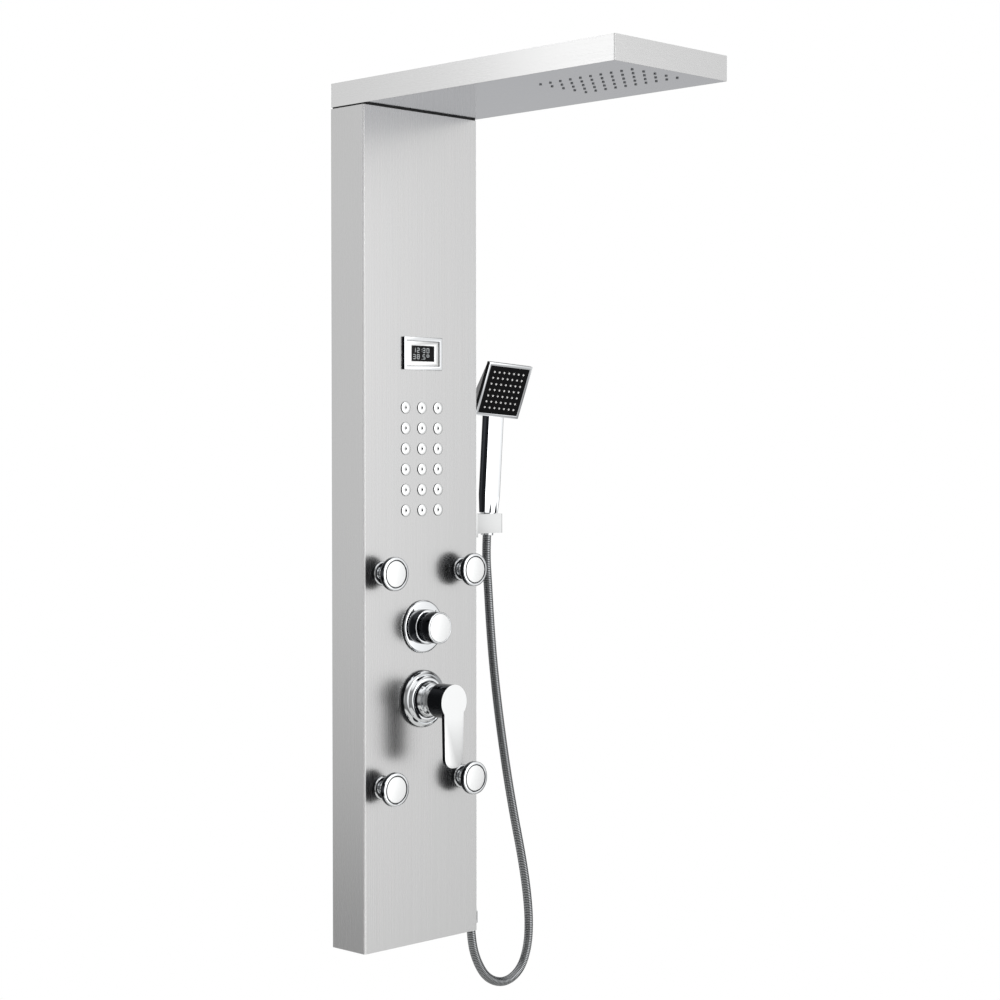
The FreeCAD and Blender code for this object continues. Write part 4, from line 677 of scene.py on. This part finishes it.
# The left and right sides are painted nearly black: a painted dark reflection.
paint(soften(bezel, 0.5, 3), chrome, painted_dark_chrome, lambda middle, normal: abs(normal.x) > 0.7)
set_down(bezel, DISPLAY, "display_surround", "panel", ["display_bezel"])
inner = block((56.4, 31.4, 2.2), (0, 0, 0.3))
pick(inner, lambda middle, normal: normal.z > 0.5)
inset(5.7)
bpy.ops.transform.resize(value=(40 / 45, 1, 1))
push(-1.8)
bpy.ops.object.mode_set(mode="OBJECT")
set_down(paint(soften(inner, 0.3), satin_chrome), DISPLAY, "display_mask", "panel",
         ["display_inner_frame"])
screen = block((39.8, 19.8, 0.6), (0, 0, 0.6))
bpy.ops.object.mode_set(mode="OBJECT")
set_down(paint(soften(screen, 0.1), black_abs_and_painted_dark), DISPLAY, "display_screen", "panel",
         ["display_lens"])

# A digit's size and a bar's width, the bars' seat and thickness, the steps and shifts along a
# row, half a colon's height, and the rows' places.
DIGIT_WIDE, DIGIT_TALL, BAR = 4.6, 6.4, 0.9
BAR_LOW, BAR_THICK = 1.2, 0.08
DIGIT_STEP, DOT_STEP, DOT_SHIFT, COLON_HALF = 7.0, 3.0, 0.4, 1.4
ROW_START, ROW_UP = -14.2, 4.1
# The seven bars of a digit: place in shares of its width and height, and whether it lies level.
BARS = {"top": (0, 0.5, True), "middle": (0, 0, True), "foot": (0, -0.5, True),
        "upper left": (-0.5, 0.25, False), "upper right": (0.5, 0.25, False),
        "lower left": (-0.5, -0.25, False), "lower right": (0.5, -0.25, False)}
DARK_BARS = {"0": ["middle"], "1": ["top", "middle", "foot", "upper left", "lower left"],
             "2": ["upper left", "lower right"], "3": ["upper left", "lower left"],
             "5": ["upper right", "lower left"], "8": [],
             "degree": ["foot", "lower left", "lower right"]}


def bar(x, y, wide, tall):
    """One raised bar of the display, with its ends drawn in."""
    piece = block((wide, tall, BAR_THICK), (x, y, BAR_LOW))
    pick(piece, lambda middle, normal: normal.z > 0.5)
    bpy.ops.transform.resize(value=(0.9, 0.9, 1))
    bpy.ops.object.mode_set(mode="OBJECT")
    return piece


def digit(mark, x, y):
    """The lit bars of one digit round its middle; a colon is two dots and a point is one."""
    if mark in (":", "."):
        heights = (-COLON_HALF, COLON_HALF) if mark == ":" else (-DIGIT_TALL / 2,)
        return [bar(x, y + height, BAR, BAR) for height in heights]
    lit = []
    for name, (across, up, lies_level) in BARS.items():
        if name not in DARK_BARS[mark]:
            wide, tall = (DIGIT_WIDE - BAR, BAR) if lies_level else (BAR, DIGIT_TALL / 2 - BAR / 2)
            lit.append(bar(x + across * (DIGIT_WIDE - BAR), y + up * (DIGIT_TALL - BAR), wide, tall))
    return lit


bars = []
for row, marks in ((ROW_UP, ["1", "2", ":", "3", "0"]), (-ROW_UP, ["3", "8", ".", "5", "degree"])):
    x = ROW_START
    for mark in marks:
        if mark in (":", "."):
            bars += digit(mark, x - DOT_SHIFT, row)
            x += DOT_STEP
        else:
            bars += digit(mark, x, row)
            x += DIGIT_STEP
set_down(paint(join(bars), segment_print), DISPLAY, "display_digits", "panel")


# --- bends of the sheet metal ---------------------------------------------------------------

def bend(middle, normal):
    """Faces of a rounded bend between two sides of a casing, which get the painted highlight."""
    return sum(abs(part) > 0.2 for part in normal) > 1


# Each casing's bend faces are painted pale: a painted highlight along its edges.
for node, steel in (("column_casing", column_steel), ("head_casing", head_steel)):
    casing = merged_copy(node)
    set_down(paint(soften(casing, 0, smooth=5), steel, painted_highlight_bend_steel, bend), IN_PLACE,
             node + "_sheet", "panel", [node])


# --- hand shower, holder --------------------------------------------------------------------

# The face of the hand shower's head leans back by PLATE_LEAN degrees about a line at its lower
# edge, and its middle is half its side up from there.
PLATE_LEAN = 20.8
PLATE_FOOT = Matrix.Translation((0, -8.4 * MM, 142 * MM))
PLATE_MIDDLE = Matrix.Translation((0, 0, 37 * MM))
PLATE = HANDSET_PLACE @ PLATE_FOOT @ turn("X", PLATE_LEAN) @ PLATE_MIDDLE @ OUTWARD


def painted_dark_flank(middle, normal):
    """Faces at the left and the right side of the hand shower, which get a painted dark reflection."""
    return abs(normal.x) > 0.3


rim = block((74, 74, 1.5), (0, 0, -1.5))
pick(rim, lambda middle, normal: normal.z > 0.5)
inset(4)
push(-1.3)
bpy.ops.object.mode_set(mode="OBJECT")
# The rim's left and right sides are painted nearly black: a painted dark reflection.
set_down(paint(soften(rim, 0.5, 3), chrome, painted_dark_chrome, painted_dark_flank), PLATE, "hand_shower_rim",
         "hand_shower", ["handset_frame"])

head_back = block((74, 74, 4.5), (0, 0, -6))
pick(head_back, lambda middle, normal: normal.z < -0.5)
inset(1)
BACK_DROP, BACK_DEPTH = -17.6 * MM, -18.9 * MM
bpy.ops.mesh.extrude_region_move(TRANSFORM_OT_translate={"value": (0, BACK_DROP, BACK_DEPTH)})
back_middle = (0, BACK_DROP, BACK_DEPTH - 6 * MM)
bpy.ops.transform.resize(value=(48 / 72, 22 / 72, 1), center_override=back_middle)
bpy.ops.transform.rotate(value=math.radians(PLATE_LEAN), orient_axis="X", center_override=back_middle)
bpy.ops.object.mode_set(mode="OBJECT")
# The back's left and right sides are painted deep black: a painted dark reflection.
paint(soften(head_back, 0.8, 3), chrome, black_abs_and_painted_dark, painted_dark_flank)
head_back.data.transform(PLATE)

handle = block((24, 14, 24), (0, 0, 14))
pick(handle, lambda middle, normal: normal.z > 0.5)
bpy.ops.transform.resize(value=(27 / 24, 16 / 14, 1))
push(131)
round_edges(handle, lambda middle, way: abs(way.z) > 0.9 and middle.y > 0, 4.5, 6)
round_edges(handle, lambda middle, way: abs(way.z) > 0.9 and middle.y < 0, 1.8, 4)
bpy.ops.object.mode_set(mode="OBJECT")
# Each flute's place across the handle and its length. Then their radius, the height at which
# they start and one above both, and the depths of their axes and of the handle's front there.
FLUTES = ((-2.2, 17), (7.4, 23))
FLUTE_RADIUS = 1.9
FLUTE_FOOT = 13.9
FLUTES_TOP = 40
FLUTE_MIDDLE, FLUTE_FRONT = -7.2, -7.8
for across, length in FLUTES:
    begin()
    flute_middle = (across * MM, FLUTE_MIDDLE * MM, (FLUTE_FOOT + length / 2) * MM)
    bpy.ops.mesh.primitive_cone_add(vertices=4, radius1=FLUTE_RADIUS * MM, radius2=0,
                                    depth=length * MM, location=flute_middle)
    combine(handle, bpy.context.object, "DIFFERENCE")
soften(handle, 0)


def in_flute(middle, normal):
    """The sloping walls of the two short flutes at the handle's foot, which get a painted shade."""
    sloping = middle.z < FLUTES_TOP and middle.y > FLUTE_FRONT and abs(normal.x) > 0.2
    return sloping and any(abs(middle.x - across) < FLUTE_RADIUS for across, _ in FLUTES)


# The handle's left and right sides are painted nearly black as a painted dark reflection, and the
# flutes' walls as a painted shade.
paint(handle, chrome, painted_dark_chrome,
      lambda middle, normal: painted_dark_flank(middle, normal) or in_flute(middle, normal))
handle.data.transform(HANDSET_PLACE)
set_down(join([handle, head_back]), IN_PLACE, "hand_shower_body", "hand_shower",
         ["handset_body"])

holder = merged_copy("holder_bracket")
set_down(paint(soften(holder, 1.3, 4, 40), holder_chrome), IN_PLACE, "hand_shower_holder", "panel",
         ["holder_bracket"])


# --- studio ---------------------------------------------------------------------------------

world = bpy.data.worlds.new("studio")
bpy.context.scene.world = world
world.use_nodes = True
tree = world.node_tree
looking = add(tree, "ShaderNodeTexCoord").outputs["Generated"]

# The room: an even dim level, and soft bright parts of it. Each has its direction, the cosines
# at which it starts and is full, and its level.
ROOM_DARK = 0.05
ROOM_LIGHTS = [((0.530, -0.848, 0.05), 0.75, 0.95, 0.86), ((0.174, -0.985, 0.05), 0.80, 0.95, 0.95),
               ((-0.712, 0.701, 0.06), 0.93, 0.985, 1.0), ((0.70, 0.70, -0.12), 0.78, 0.93, 0.56),
               ((-0.70, -0.70, 0.05), 0.60, 0.97, 0.20), ((1.0, 0.0, 0.1), 0.90, 0.99, 0.30),
               ((0.0, 1.0, 0.0), 0.85, 0.97, 0.45), ((-1.0, 0.0, 0.1), 0.88, 0.98, 0.25),
               ((0.0, 0.0, 1.0), 0.45, 0.80, 0.95), ((0.0, 0.0, -1.0), 0.45, 0.75, 1.0)]
level = add(tree, "ShaderNodeValue").outputs["Value"]
level.default_value = ROOM_DARK
for way, start_cos, full_cos, strength in ROOM_LIGHTS:
    facing = add(tree, "ShaderNodeVectorMath",
                 {"operation": "DOT_PRODUCT", 1: Vector(way).normalized()}, {0: looking})
    part = add(tree, "ShaderNodeMapRange",
               {"interpolation_type": "SMOOTHSTEP", "From Min": start_cos, "From Max": full_cos,
                "To Min": 0.0, "To Max": strength}, {"Value": facing.outputs["Value"]})
    level = add(tree, "ShaderNodeMath", {"operation": "ADD"},
                {0: level, 1: part.outputs["Result"]}).outputs["Value"]
around = tree.nodes["Background"]
tree.links.new(level, around.inputs["Strength"])
around.inputs["Color"].default_value = (1, 1, 1, 1)
seen = add(tree, "ShaderNodeBackground", {"Color": (1, 1, 1, 1), "Strength": 1.0})
path_kind = add(tree, "ShaderNodeLightPath")
mix = add(tree, "ShaderNodeMixShader", links={0: path_kind.outputs["Is Camera Ray"],
                                             1: around.outputs["Background"],
                                             2: seen.outputs["Background"]})
tree.links.new(mix.outputs["Shader"], tree.nodes["World Output"].inputs["Surface"])


def lamp(name, place, target, size, energy):
    """A soft rectangular lamp at a place, turned to its target."""
    light = bpy.data.lights.new(name, "AREA")
    light.shape = "RECTANGLE"
    light.size, light.size_y = size
    light.energy = energy
    lamp_object = bpy.data.objects.new(name, light)
    bpy.context.scene.collection.objects.link(lamp_object)
    lamp_object.location = place
    beam = Vector(target) - Vector(place)
    lamp_object.rotation_euler = beam.to_track_quat("-Z", "Y").to_euler()


lamp("right softbox", (0.70, -2.50, 0.30), (0, -0.06, -0.35), (0.8, 1.6), 4.0)
lamp("left softbox", (-1.42, 0.60, 0.50), (-0.1, -0.45, 0.18), (0.5, 0.3), 0.5)


def studio_floor():
    """A matt white floor under the panel, which looks white and keeps a faint shadow."""
    floor_up, white_share = -1.25, 0.85
    begin()
    bpy.ops.mesh.primitive_circle_add(vertices=128, radius=1.0, fill_type="NGON",
                                      location=(0, 0, floor_up))
    floor = bpy.context.object
    floor.name = "studio_floor"
    material, tree, shader = start_material("matt studio floor", "#F2F2F0", 0.0, 0.9)
    lit = add(tree, "ShaderNodeEmission", {"Strength": 1.0})
    eye = add(tree, "ShaderNodeLightPath")
    share = add(tree, "ShaderNodeMath", {"operation": "MULTIPLY", 1: white_share},
                {0: eye.outputs["Is Camera Ray"]})
    mixed = add(tree, "ShaderNodeMixShader",
                links={0: share.outputs["Value"], 1: shader.outputs["BSDF"],
                       2: lit.outputs["Emission"]})
    tree.links.new(mixed.outputs["Shader"], tree.nodes["Material Output"].inputs["Surface"])
    floor.data.materials.append(material)


studio_floor()

bpy.context.scene.view_settings.view_transform = "Standard"
